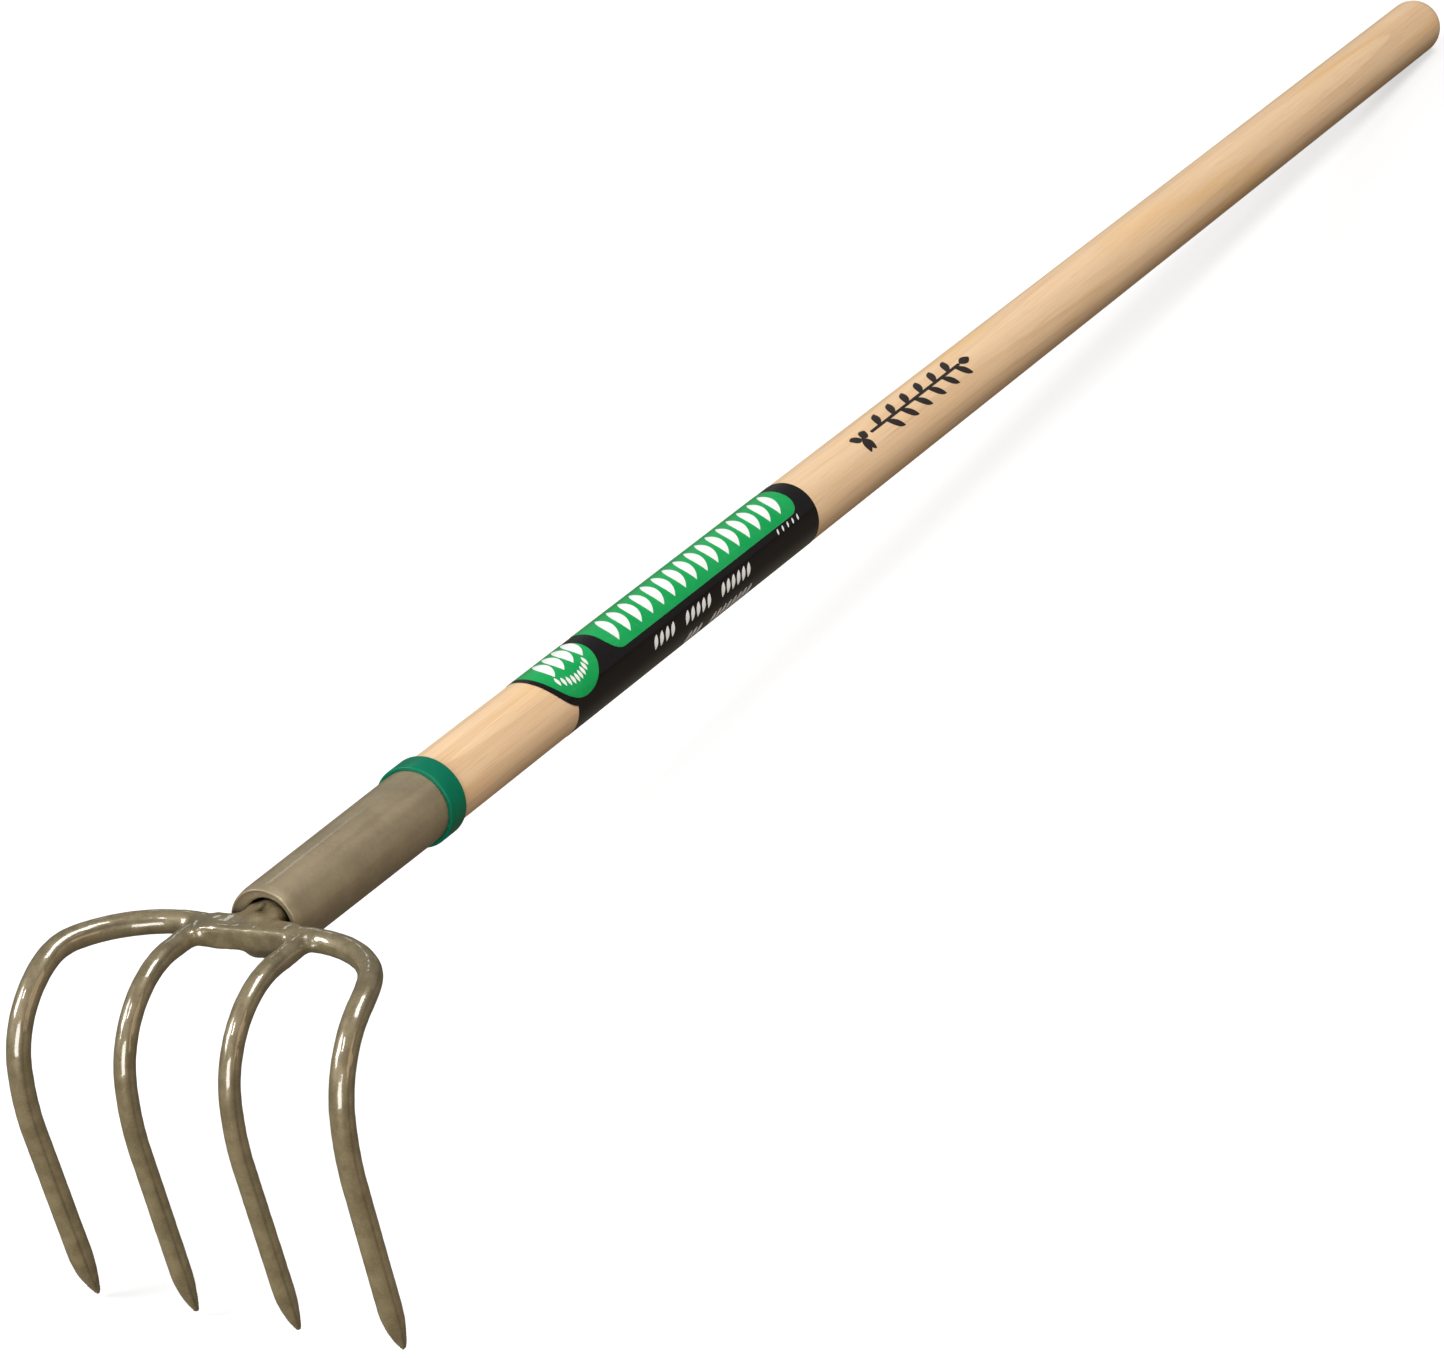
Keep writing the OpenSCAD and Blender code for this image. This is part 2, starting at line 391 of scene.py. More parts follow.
@dataclass(frozen=True)
class Finish:
    """One finish of the tool: a material whose pattern a subclass wires."""

    name: str

    def wire(self, desk: NodeDesk, vector: Socket) -> dict[str, object]:
        """Wires the finish's own pattern.

        Args:
            desk: The material's desk.
            vector: Places on the piece, in the handle's axes.

        Returns:
            Sockets and values for the shader's inputs, with "_" for a space in a name.
        """
        raise NotImplementedError

    def build(self, axes: HandleAxes) -> bpy.types.Material:
        """Builds the material round its wired pattern.

        Args:
            axes: The handle's axes.

        Returns:
            The material.
        """
        material = bpy.data.materials.new(self.name)
        material.use_nodes = True
        desk = NodeDesk(material.node_tree)
        shader = desk.add("BsdfPrincipled", **self.wire(desk, axes.local_vector(desk)))
        desk.add("OutputMaterial", Surface=shader.outputs[0])
        return material


@dataclass(frozen=True)
class ForgedEnamel(Finish):
    """Glossy champagne-taupe enamel over a forging, with painted shade in its hollows and crease and painted
    light that makes it paler towards the points.
    """

    name: str = "taupe_enamel_forged"
    lit: Colour = (0.292, 0.234, 0.128, 1.0)
    deep: Colour = (0.182, 0.143, 0.072, 1.0)
    # Colour of the painted shade in the hollows, round the notches and along the crease.
    shade_colour: Colour = (0.060, 0.048, 0.028, 1.0)
    roughness: float = 0.36
    # Heights between which the painted light fades from paler low down to darker high up.
    painted_light_below: float = -0.085
    painted_shade_above: float = -0.015

    def wire(self, desk: NodeDesk, vector: Socket) -> dict[str, object]:
        """Wires mottled enamel with painted shade in the hollows and crease, and painted light that is paler
        low down and darker high up.

        Args:
            desk: The material's desk.
            vector: Places on the piece, in the handle's axes.

        Returns:
            Sockets and values for the shader's inputs.
        """
        coat = MOTTLE.place(desk, vector, Size=130.0)
        rubs = HANDLING.place(desk, vector, Size=120.0)
        crease = desk.add("Attribute", {"attribute_name": "crease"}).outputs["Fac"]
        hollow = desk.add("Attribute", {"attribute_name": "hollow"}).outputs["Fac"]
        # Painted light: the colour is scaled from 1.2 low down towards the points to 0.8 high on the head.
        height = desk.add("SeparateXYZ", Vector=vector).outputs["Z"]
        rub_and_painted_light = desk.span(height, self.painted_light_below, self.painted_shade_above, 1.20, 0.80)
        toned = desk.blend(coat.outputs["Tone"], self.deep, self.lit)
        base = desk.vectors("SCALE", toned, Scale=rub_and_painted_light)
        # Painted shade: the colour darkens, speckled, towards the shade colour in hollows, round the notches
        # and along the parting crease.
        spotty = desk.span(coat.outputs["Speckle"], 0.0, 1.0, 0.55, 1.0)
        hollow_shade = desk.maths("MULTIPLY", desk.maths("MULTIPLY", hollow, spotty, True), 0.85)
        dark = desk.maths("MAXIMUM", desk.maths("MULTIPLY", crease, 0.75), hollow_shade)
        clouded = desk.span(coat.outputs["Clouds"], 0.0, 1.0, self.roughness, self.roughness + 0.1)
        dulled = desk.maths("MULTIPLY", desk.maths("ADD", rubs.outputs["Rubs"], hollow), 0.12)
        return {
            "Base_Color": desk.blend(dark, base, self.shade_colour),
            "Roughness": desk.maths("ADD", clouded, dulled),
            "Normal": desk.relief(coat.outputs["Height"], 0.12, 0.0005),
            "Metallic": 0.3,
            "Coat_Weight": desk.span(hollow, 0.0, 0.8, 0.7, 0.05),
            "Coat_IOR": 1.9,
            "Coat_Roughness": 0.07,
        }


@dataclass(frozen=True)
class TubeEnamel(Finish):
    """Satin champagne-taupe enamel on drawn or turned steel."""

    name: str = "taupe_enamel_tube"
    lit: Colour = (0.350, 0.283, 0.178, 1.0)
    deep: Colour = (0.240, 0.190, 0.114, 1.0)
    roughness: float = 0.40
    drawn: float = 0.18

    def wire(self, desk: NodeDesk, vector: Socket) -> dict[str, object]:
        """Wires satin enamel with faint streaks along the tube.

        Args:
            desk: The material's desk.
            vector: Places on the piece, in the handle's axes.

        Returns:
            Sockets and values for the shader's inputs.
        """
        coat = MOTTLE.place(desk, vector, Size=55.0)
        rubs = HANDLING.place(desk, vector, Size=60.0)
        streak = desk.noise(desk.stretch(vector, 0.05), 170.0, 3.0, 0.55)
        tone = desk.weigh(coat.outputs["Tone"], 0.6, streak, 0.4)
        streaked = desk.span(streak, 0.35, 0.65, self.roughness, self.roughness + self.drawn)
        smudged = desk.maths("MULTIPLY", rubs.outputs["Smudges"], 0.06)
        height = desk.maths("ADD", coat.outputs["Height"], desk.maths("MULTIPLY", streak, 0.6))
        return {
            "Base_Color": desk.blend(tone, self.deep, self.lit),
            "Roughness": desk.maths("ADD", streaked, smudged),
            "Normal": desk.relief(height, 0.22, 0.0004),
            "Metallic": 0.35,
            "Coat_Weight": 0.35,
            "Coat_Roughness": 0.10,
        }


@dataclass(frozen=True)
class ForgedSteel(Finish):
    """Bare forged steel with dark scale, used where no paint reaches."""

    name: str = "forged_steel"
    bright: Colour = (0.33, 0.31, 0.28, 1.0)
    scale: Colour = (0.10, 0.092, 0.085, 1.0)

    def wire(self, desk: NodeDesk, vector: Socket) -> dict[str, object]:
        """Wires scale that is worn to bright steel.

        Args:
            desk: The material's desk.
            vector: Places on the piece, in the handle's axes.

        Returns:
            Sockets and values for the shader's inputs.
        """
        coat = MOTTLE.place(desk, vector, Size=130.0)
        rubs = HANDLING.place(desk, vector, Size=80.0)
        worn = desk.maths("MAXIMUM", coat.outputs["Tone"], rubs.outputs["Rubs"])
        return {
            "Base_Color": desk.blend(worn, self.scale, self.bright),
            "Roughness": desk.span(coat.outputs["Tone"], 0.0, 1.0, 0.62, 0.38),
            "Normal": desk.relief(coat.outputs["Height"], 0.5, 0.0006),
            "Metallic": 0.9,
        }


@dataclass(frozen=True)
class MouldedPlastic(Finish):
    """Soft-gloss moulded plastic with a faint flow pattern and rubbed spots."""

    colour: Colour
    pale: Colour
    roughness: float = 0.32

    def wire(self, desk: NodeDesk, vector: Socket) -> dict[str, object]:
        """Wires a faint flow pattern with rubbed spots.

        Args:
            desk: The material's desk.
            vector: Places on the piece, in the handle's axes.

        Returns:
            Sockets and values for the shader's inputs.
        """
        coat = MOTTLE.place(desk, vector, Size=110.0)
        rubs = HANDLING.place(desk, vector, Size=90.0)
        tone = desk.maths("MULTIPLY", coat.outputs["Clouds"], 0.5)
        fine = desk.span(coat.outputs["Speckle"], 0.0, 1.0, self.roughness, self.roughness + 0.08)
        rub_and_painted_light = desk.maths("MULTIPLY", rubs.outputs["Rubs"], 0.15)
        return {
            "Base_Color": desk.blend(tone, self.colour, self.pale),
            "Roughness": desk.maths("ADD", fine, rub_and_painted_light),
            "Normal": desk.relief(coat.outputs["Height"], 0.15, 0.0003),
            "Specular_IOR_Level": 0.18,
        }


@dataclass(frozen=True)
class LacqueredWood(Finish):
    """Pale straight-grained hardwood under clear lacquer."""

    name: str = "lacquered_hardwood"
    early: Colour = (0.800, 0.570, 0.350, 1.0)
    late: Colour = (0.610, 0.375, 0.195, 1.0)
    honey: Colour = (0.770, 0.470, 0.180, 1.0)
    pore: Colour = (0.420, 0.250, 0.115, 1.0)
    ring_width: float = 0.0042
    pith: tuple[float, float] = (0.031, 0.047)
    wander: float = 0.012

    def rings(self, desk: NodeDesk, vector: Socket) -> Socket:
        """Wires the growth rings round a wandering pith beside the handle.

        Args:
            desk: The material's desk.
            vector: Places on the piece, in the handle's axes.

        Returns:
            A socket that rises through each year's late wood.
        """
        drift = desk.add("Mapping", Vector=vector, Scale=(9.0, 1.7, 9.0)).outputs[0]
        bend = desk.add("TexNoise", Vector=drift, Scale=1.0, Detail=2.0, Roughness=0.5)
        centred = desk.vectors("SUBTRACT", bend.outputs["Color"], i1=(0.5, 0.5, 0.5))
        pushed = desk.vectors("MULTIPLY", centred, i1=(self.wander, 0.0, self.wander))
        grown = desk.vectors("ADD", vector, i1=pushed)
        pith = (self.pith[0], 0.0, self.pith[1])
        moved = desk.add("Mapping", Vector=grown, Location=pith, Scale=(1.0, 0.0, 1.0)).outputs[0]
        radius = desk.add("VectorMath", {"operation": "LENGTH"}, i0=moved).outputs["Value"]
        turns = desk.maths("FRACT", desk.maths("DIVIDE", radius, self.ring_width))
        return desk.span(turns, 0.55, 1.0)

    def wire(self, desk: NodeDesk, vector: Socket) -> dict[str, object]:
        """Wires rings, fibres, pores and honey streaks under lacquer.

        Args:
            desk: The material's desk.
            vector: Places on the piece, in the handle's axes.

        Returns:
            Sockets and values for the shader's inputs.
        """
        ring = self.rings(desk, vector)
        fibre_space = desk.stretch(vector, 0.02)
        fibre = desk.noise(fibre_space, 900.0, 4.0, 0.6)
        pores = desk.span(desk.noise(fibre_space, 1500.0, 2.0, 0.5), 0.62, 0.74)
        honeyed = desk.span(desk.noise(desk.stretch(vector, 0.09), 62.0, 3.0, 0.55), 0.50, 0.74)
        cloud = desk.noise(desk.stretch(vector, 0.3), 28.0, 2.0, 0.5)
        late_share = desk.maths("MULTIPLY", ring, desk.span(cloud, 0.3, 0.7, 0.08, 0.40))
        share = desk.maths("ADD", late_share, desk.span(fibre, 0.35, 0.7, 0.0, 0.28), True)
        grain = desk.blend(share, self.early, self.late)
        warm = desk.blend(desk.maths("MULTIPLY", honeyed, 0.6), grain, self.honey)
        marks = HANDLING.place(desk, vector, Size=16.0)
        smudged = desk.maths("MULTIPLY", marks.outputs["Smudges"], 0.06)
        height = desk.maths("SUBTRACT", fibre, desk.maths("MULTIPLY", pores, 0.8))
        return {
            "Base_Color": desk.blend(desk.maths("MULTIPLY", pores, 0.30), warm, self.pore),
            "Roughness": desk.maths("ADD", desk.span(fibre, 0.3, 0.7, 0.36, 0.46), smudged),
            "Normal": desk.relief(height, 0.18, 0.0003),
            "Coat_Weight": 0.22,
            "Coat_Roughness": 0.30,
        }


@dataclass(frozen=True)
class PrintedFilm(Finish):
    """Glossy printed film: one ink colour with slight mottle, smudges and ripples."""

    ink: Colour
    faded: Colour
    roughness: float = 0.2

    def wire(self, desk: NodeDesk, vector: Socket) -> dict[str, object]:
        """Wires smudged, slightly rippled ink.

        Args:
            desk: The material's desk.
            vector: Places on the piece, in the handle's axes.

        Returns:
            Sockets and values for the shader's inputs.
        """
        coat = MOTTLE.place(desk, vector, Size=45.0)
        marks = HANDLING.place(desk, vector, Size=30.0)
        worn = desk.maths("ADD", coat.outputs["Tone"], marks.outputs["Rubs"])
        clouded = desk.span(coat.outputs["Clouds"], 0.0, 1.0, self.roughness, self.roughness + 0.06)
        smudged = desk.maths("MULTIPLY", marks.outputs["Smudges"], 0.08)
        return {
            "Base_Color": desk.blend(desk.maths("MULTIPLY", worn, 0.35), self.ink, self.faded),
            "Roughness": desk.maths("ADD", clouded, smudged),
            "Normal": desk.relief(coat.outputs["Clouds"], 0.12, 0.0004),
            "Specular_IOR_Level": 0.1,
            "Coat_Weight": 0.5,
            "Coat_Roughness": 0.09,
        }


@dataclass
class Workshop:
    """The handle's axes and every finish of the tool, each built once."""

    axes: HandleAxes
    made: dict[str, bpy.types.Material] = field(default_factory=dict)

    def take(self, finish: Finish) -> bpy.types.Material:
        """Returns a finish's material, building it on first use.

        Args:
            finish: The finish.

        Returns:
            Its material.
        """
        if finish.name not in self.made:
            self.made[finish.name] = finish.build(self.axes)
        return self.made[finish.name]


GREEN_PLASTIC = MouldedPlastic("green_plastic", (0.000, 0.140, 0.072, 1.0),
                               (0.001, 0.175, 0.094, 1.0))
BLACK_FILM = PrintedFilm("black_film", (0.005, 0.004, 0.004, 1.0), (0.009, 0.007, 0.007, 1.0), 0.13)
GREEN_INK = PrintedFilm("green_ink", (0.000, 0.330, 0.075, 1.0), (0.030, 0.420, 0.130, 1.0), 0.24)
WHITE_INK = PrintedFilm("white_ink", (0.860, 0.860, 0.850, 1.0), (0.780, 0.790, 0.780, 1.0), 0.30)
BLACK_INK = PrintedFilm("black_ink", (0.018, 0.014, 0.013, 1.0), (0.040, 0.030, 0.024, 1.0), 0.38)


# ----------------------------------------------------------------------------- mesh helpers


def soften(corners: Sequence[tuple[float, float, float]], steps: int = 6) -> list[Vector]:
    """Rounds the corners of a profile.

    Args:
        corners: Points as (radius, distance along the handle, rounding).
        steps: Pieces in each rounded corner.

    Returns:
        The rounded profile's points, in the plane of X and Y.
    """
    rounded: list[Vector] = []
    last = len(corners) - 1
    for i, (radius, along, rounding) in enumerate(corners):
        here = Vector((radius, along, 0.0))
        if rounding <= 0.0 or i in (0, last):
            rounded.append(here)
            continue
        before = Vector((*corners[i - 1][:2], 0.0)) - here
        after = Vector((*corners[i + 1][:2], 0.0)) - here
        start = here + before.normalized() * min(rounding, before.length * 0.49)
        end = here + after.normalized() * min(rounding, after.length * 0.49)
        for k in range(steps + 1):
            t = k / steps
            rounded.append(start * (1 - t) ** 2 + here * 2 * t * (1 - t) + end * t ** 2)
    return rounded


def turn_profile(points: Sequence[Vector], segments: int, ring: bool) -> bmesh.types.BMesh:
    """Turns a profile about the handle's axis.

    Args:
        points: The profile's points.
        segments: Steps round the axis.
        ring: Whether the profile closes on itself, as for a tube.

    Returns:
        A closed mesh with its faces outwards.
    """
    bm = bmesh.new()
    verts = [bm.verts.new(p) for p in points]
    edges = [bm.edges.new(pair) for pair in zip(verts, verts[1:])]
    if ring:
        edges.append(bm.edges.new((verts[-1], verts[0])))
    bmesh.ops.spin(bm, geom=verts + edges, cent=(0, 0, 0), axis=(0, 1, 0), dvec=(0, 0, 0),
                   angle=math.tau, steps=segments, use_merge=True, use_duplicate=False)
    bmesh.ops.remove_doubles(bm, verts=bm.verts, dist=1e-6)
    bmesh.ops.recalc_face_normals(bm, faces=bm.faces)
    return bm


def add_mesh(bm: bmesh.types.BMesh, other: bmesh.types.BMesh) -> None:
    """Adds one mesh to another.

    Args:
        bm: The mesh that grows.
        other: The mesh that is added; it is freed.
    """
    carrier = bpy.data.meshes.new("carrier")
    other.to_mesh(carrier)
    other.free()
    bm.from_mesh(carrier)
    bpy.data.meshes.remove(carrier)


def add_ball(bm: bmesh.types.BMesh, radius: float, place: Matrix) -> None:
    """Adds a ball at a place."""
    bmesh.ops.create_uvsphere(bm, u_segments=40, v_segments=24, radius=radius, matrix=place)


def add_rod(bm: bmesh.types.BMesh, radii: tuple[float, float], length: float, place: Matrix,
            segments: int = 64) -> None:
    """Adds a round rod along Z of its place.

    Args:
        bm: The mesh to add to.
        radii: Its radii at its two ends.
        length: Its length.
        place: Its middle and direction.
        segments: Its sides.
    """
    bmesh.ops.create_cone(bm, cap_ends=True, segments=segments, radius1=radii[0], radius2=radii[1],
                          depth=length, matrix=place)


def finish_piece(shop: Workshop, bm: bmesh.types.BMesh, name: str, finish: Finish,
                 sharp_angle: float = 35.0) -> bpy.types.Object:
    """Lays a mesh on the ground with the handle and makes it a shown piece.

    Args:
        shop: The axes and finishes.
        bm: The mesh, in the handle's axes; it is freed.
        name: The piece's name.
        finish: Its finish.
        sharp_angle: Edges sharper than this stay crisp, in degrees.

    Returns:
        The new object.
    """
    bmesh.ops.transform(bm, matrix=shop.axes.place, verts=bm.verts)
    limit = math.radians(sharp_angle)
    for edge in bm.edges:
        edge.smooth = len(edge.link_faces) != 2 or edge.calc_face_angle(0.0) < limit
    for face in bm.faces:
        face.smooth = True
    mesh = bpy.data.meshes.new(name)
    bm.to_mesh(mesh)
    bm.free()
    mesh.materials.append(shop.take(finish))
    piece = bpy.data.objects.new(name, mesh)
    bpy.context.scene.collection.objects.link(piece)
    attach(piece, ROOT_BODY)
    log.info("%s: %d faces", name, len(mesh.polygons))
    return piece


def ease(value: float, low: float, high: float) -> float:
    """Rises smoothly from 0 to 1 as a value goes from low to high."""
    t = max(0.0, min(1.0, (value - low) / (high - low)))
    return t * t * (3.0 - 2.0 * t)


# ----------------------------------------------------------------------------- forged head


@dataclass(frozen=True)
class Station:
    """One cross-section of a bent bar."""

    place: Vector
    side: Vector
    up: Vector
    ahead: Vector
    radius: float
    travelled: float

    def matrix(self) -> Matrix:
        """Returns the matrix that puts a unit circle at this cross-section."""
        turned = Matrix((self.side * self.radius, self.up * self.radius, self.ahead)).transposed()
        placed = turned.to_4x4()
        placed.translation = self.place
        return placed


@dataclass(frozen=True)
class TineBar:
    """A round bar bent into one tine: across, round the shoulder, then down in a hook."""

    hand: Side
    root: tuple[float, float]
    first_yaw: float
    last_yaw: float
    run: float
    radius: float
    free_from: float
    shoulder_r: float = 0.044
    hook_r: float = 0.040
    hook_sweep: float = 88.0
    ease_r: float = 0.105
    rake: float = 14.0
    drop: float = 0.1514
    lean: float = 0.5
    point_length: float = 0.026
    point_blunt: float = 0.1
    pitch: float = 0.0015

    def hook_length(self) -> float:
        """Returns the length of the hook's tight bend."""
        return self.hook_r * math.radians(self.hook_sweep)

    def ease_length(self) -> float:
        """Returns the length of the gentle bend below the hook."""
        return self.ease_r * math.radians(90.0 + self.rake - self.hook_sweep)

    def turn_at(self, travelled: float) -> tuple[float, float]:
        """Finds which way the bar points.

        Args:
            travelled: Distance from its root.

        Returns:
            Its yaw and pitch in radians.
        """
        sweep = self.last_yaw - self.first_yaw
        bend = max(0.001, self.shoulder_r * math.radians(sweep))
        yaw = self.first_yaw + sweep * min(1.0, max(0.0, travelled / bend))
        hooked = min(1.0, max(0.0, (travelled - self.run) / self.hook_length()))
        eased = min(1.0, max(0.0, (travelled - self.run - self.hook_length()) / self.ease_length()))
        pitch = self.hook_sweep * hooked + (90.0 + self.rake - self.hook_sweep) * eased
        return math.radians(yaw), math.radians(pitch)

    def station(self, place: Vector, travelled: float, radius: float) -> Station:
        """Makes the cross-section at a place on the bar.

        Args:
            place: Centre of the cross-section.
            travelled: Distance from the root.
            radius: Radius there.

        Returns:
            The cross-section.
        """
        yaw, pitch = self.turn_at(travelled)
        hand = self.hand.value
        side = Vector((hand * math.sin(yaw), math.cos(yaw), 0.0))
        level, fall = math.cos(pitch), math.sin(pitch)
        up = Vector((hand * fall * math.cos(yaw), -fall * math.sin(yaw), level))
        ahead = Vector((hand * level * math.cos(yaw), -level * math.sin(yaw), -fall))
        return Station(place.copy(), side, up, ahead, radius, travelled)

    def stations(self) -> list[Station]:
        """Returns every cross-section from the root to the point."""
        bent = self.run + self.hook_length() + self.ease_length()
        count = math.ceil(bent / self.pitch)
        step = bent / count
        place = Vector((self.hand.value * self.root[0], self.root[1], 0.0))
        made = [self.station(place, 0.0, self.radius)]
        for i in range(count):
            place = place + step * self.station(place, (i + 0.5) * step, self.radius).ahead
            made.append(self.station(place, (i + 1) * step, self.radius))
        ahead = made[-1].ahead
        lean = -self.lean * made[-1].up
        tip_r = self.radius * self.point_blunt
        length = (place.z + lean.z * (self.radius - tip_r) + self.drop) / -ahead.z
        blade = length - self.point_length
        rows = max(1, math.ceil(length / self.pitch))
        for i in range(1, rows + 1):
            gone = length * i / rows
            share = max(0.0, (gone - blade) / self.point_length)
            radius = self.radius * max(self.point_blunt, 1.0 - share ** 1.9)
            centre = place + ahead * gone + lean * (self.radius - radius)
            made.append(self.station(centre, bent + gone, radius))
        return made

    def draw(self, bm: bmesh.types.BMesh, sides: int = 32) -> None:
        """Sweeps the bar into a mesh by extruding one ring after another.

        Args:
            bm: The mesh to add to.
            sides: Sides of the bar.
        """
        stations = self.stations()
        ring = bmesh.ops.create_circle(bm, cap_ends=True, segments=sides, radius=1.0,
                                       matrix=stations[0].matrix())
        edges = list({e for v in ring["verts"] for e in v.link_edges})
        for last, here in zip(stations, stations[1:]):
            grown = bmesh.ops.extrude_edge_only(bm, edges=edges)["geom"]
            verts = [g for g in grown if isinstance(g, bmesh.types.BMVert)]
            edges = [g for g in grown if isinstance(g, bmesh.types.BMEdge)
                     and all(v in verts for v in g.verts)]
            bmesh.ops.transform(bm, matrix=here.matrix() @ last.matrix().inverted(), verts=verts)
        bmesh.ops.edgeloop_fill(bm, edges=edges)


@dataclass(frozen=True)
class ForgedHead:
    """The one-piece forging: four tines, the block that joins them and the neck of the tang."""

    outer_root: tuple[float, float] = (0.0150, -0.0083)
    outer_run: float = 0.0605
    outer_r: float = 0.0049
    inner_root: tuple[float, float] = (0.0234, -0.0080)
    inner_run: float = 0.0230
    inner_r: float = 0.00435
    block_half: float = 0.0192
    block_front: float = -0.0162
    block_rear: float = -0.0034
    block_half_height: float = 0.0050
    block_lift: float = 0.0004
    block_bevel: float = 0.0011
    front_skew: float = 0.12
    boss_place: tuple[float, float] = (-0.0005, -0.0042)
    boss_r: tuple[float, float] = (0.0100, 0.0096)
    boss_top: float = 0.0054
    boss_foot: float = -0.0045
    lump_place: tuple[float, float, float] = (0.0022, -0.0078, -0.0030)
    lump_r: float = 0.0070
    lump_stretch: tuple[float, float, float] = (1.15, 0.95, 1.0)
    hub_place: tuple[float, float, float] = (0.0, -0.0054, -0.0008)
    hub_r: float = 0.0082
    neck_start: float = 0.0024
    neck_end: float = 0.0145
    neck_r: tuple[float, float] = (0.0078, 0.0084)
    lobe_r: float = 0.0045
    lobe_offset: float = 0.0044
    lobe_lift: float = 0.0032
    lobe_fold: float = 0.0018
    lobe_root: float = 0.0040
    notch_place: tuple[float, float, float] = (0.0272, -0.0138, 0.0030)
    notch_r: float = 0.0022
    notch_depth: float = 0.0007
    # Reach of the painted shade round each notch.
    notch_shade_r: float = 0.0034
    fold_x: float = -0.0004
    fold_width: float = 0.0007
    fold_depth: float = 0.0010
    fillet: float = 0.0017
    coarse: float = 0.0009
    fine: float = 0.00066
    crease_turn: float = 31.0
    crease_width: float = 0.0005
    crease_depth: float = 0.00022

    def bars(self) -> list[TineBar]:
        """Returns the four tines, from left to right."""
        def outer(hand: Side) -> TineBar:
            """Returns the outer tine of one side."""
            return TineBar(hand, self.outer_root, -15.0, 85.0, self.outer_run, self.outer_r, 0.021)

        def inner(hand: Side) -> TineBar:
            """Returns the inner tine of one side."""
            return TineBar(hand, self.inner_root, 90.0, 90.0, self.inner_run, self.inner_r, 0.016)

        return [outer(Side.LEFT), inner(Side.LEFT), inner(Side.RIGHT), outer(Side.RIGHT)]

    def draw_block(self, bm: bmesh.types.BMesh) -> None:
        """Adds the middle block with its bevelled edges.

        Args:
            bm: The mesh to add to.
        """
        size = (2 * self.block_half, self.block_rear - self.block_front, 2 * self.block_half_height)
        centre = (0.0, (self.block_rear + self.block_front) / 2, self.block_lift)
        place = Matrix.Translation(centre) @ Matrix.Diagonal((*size, 1.0))
        cube = bmesh.ops.create_cube(bm, size=1.0, matrix=place)
        for v in cube["verts"]:
            if v.co.y < centre[1]:
                v.co.y += self.front_skew * v.co.x
        edges = list({e for v in cube["verts"] for e in v.link_edges})
        bmesh.ops.bevel(bm, geom=edges, offset=self.block_bevel, segments=3, profile=0.5,
                        affect="EDGES", material=-1)

    def draw_boss(self, bm: bmesh.types.BMesh) -> None:
        """Adds the round boss, the lump below it and the two-lobed neck.

        Args:
            bm: The mesh to add to.
        """
        along = Matrix.Rotation(math.pi / 2, 4, "X")
        middle = (self.boss_top + self.boss_foot) / 2
        add_rod(bm, self.boss_r, self.boss_top - self.boss_foot,
                Matrix.Translation((*self.boss_place, middle)))
        stretch = Matrix.Diagonal((*self.lump_stretch, 1.0))
        add_ball(bm, self.lump_r, Matrix.Translation(self.lump_place) @ stretch)
        add_ball(bm, self.hub_r, Matrix.Translation(self.hub_place))
        neck = Matrix.Translation((0.0, (self.neck_start + self.neck_end) / 2, 0.0))
        add_rod(bm, self.neck_r, self.neck_end - self.neck_start, neck @ along)
        length = self.neck_end - self.block_rear + self.lobe_root
        for hand in Side:
            offset = hand.value * self.lobe_offset
            spot = Matrix.Translation((offset, self.neck_end - length / 2, 0.0))
            add_rod(bm, (self.lobe_r, self.lobe_r), length, spot @ along, 40)
            add_ball(bm, self.lobe_r, Matrix.Translation((offset, self.lobe_fold, self.lobe_lift)))

    def union(self, bm: bmesh.types.BMesh) -> bpy.types.Mesh:
        """Melts the parts into one skin, with forged fillets where they meet.

        Args:
            bm: The overlapping closed parts; it is freed.

        Returns:
            The skin's mesh.
        """
        bmesh.ops.recalc_face_normals(bm, faces=bm.faces)
        rough = bpy.data.meshes.new("forging_parts")
        bm.to_mesh(rough)
        bm.free()
        blank = bpy.data.objects.new("forging_parts", rough)
        bpy.context.scene.collection.objects.link(blank)
        grow, shrink, keep = (self.coarse, self.fillet), (self.coarse, -self.fillet), (self.fine, 0.0)
        for voxel, push in (grow, shrink, keep):
            melt = blank.modifiers.new("melt", "REMESH")
            melt.mode, melt.voxel_size, melt.adaptivity = "VOXEL", voxel, 0.0
            if push:
                swell = blank.modifiers.new("swell", "DISPLACE")
                swell.strength, swell.mid_level, swell.direction = push, 0.0, "NORMAL"
        evaluated = blank.evaluated_get(bpy.context.evaluated_depsgraph_get())
        skin = bpy.data.meshes.new_from_object(evaluated)
        bpy.data.objects.remove(blank)
        bpy.data.meshes.remove(rough)
        return skin

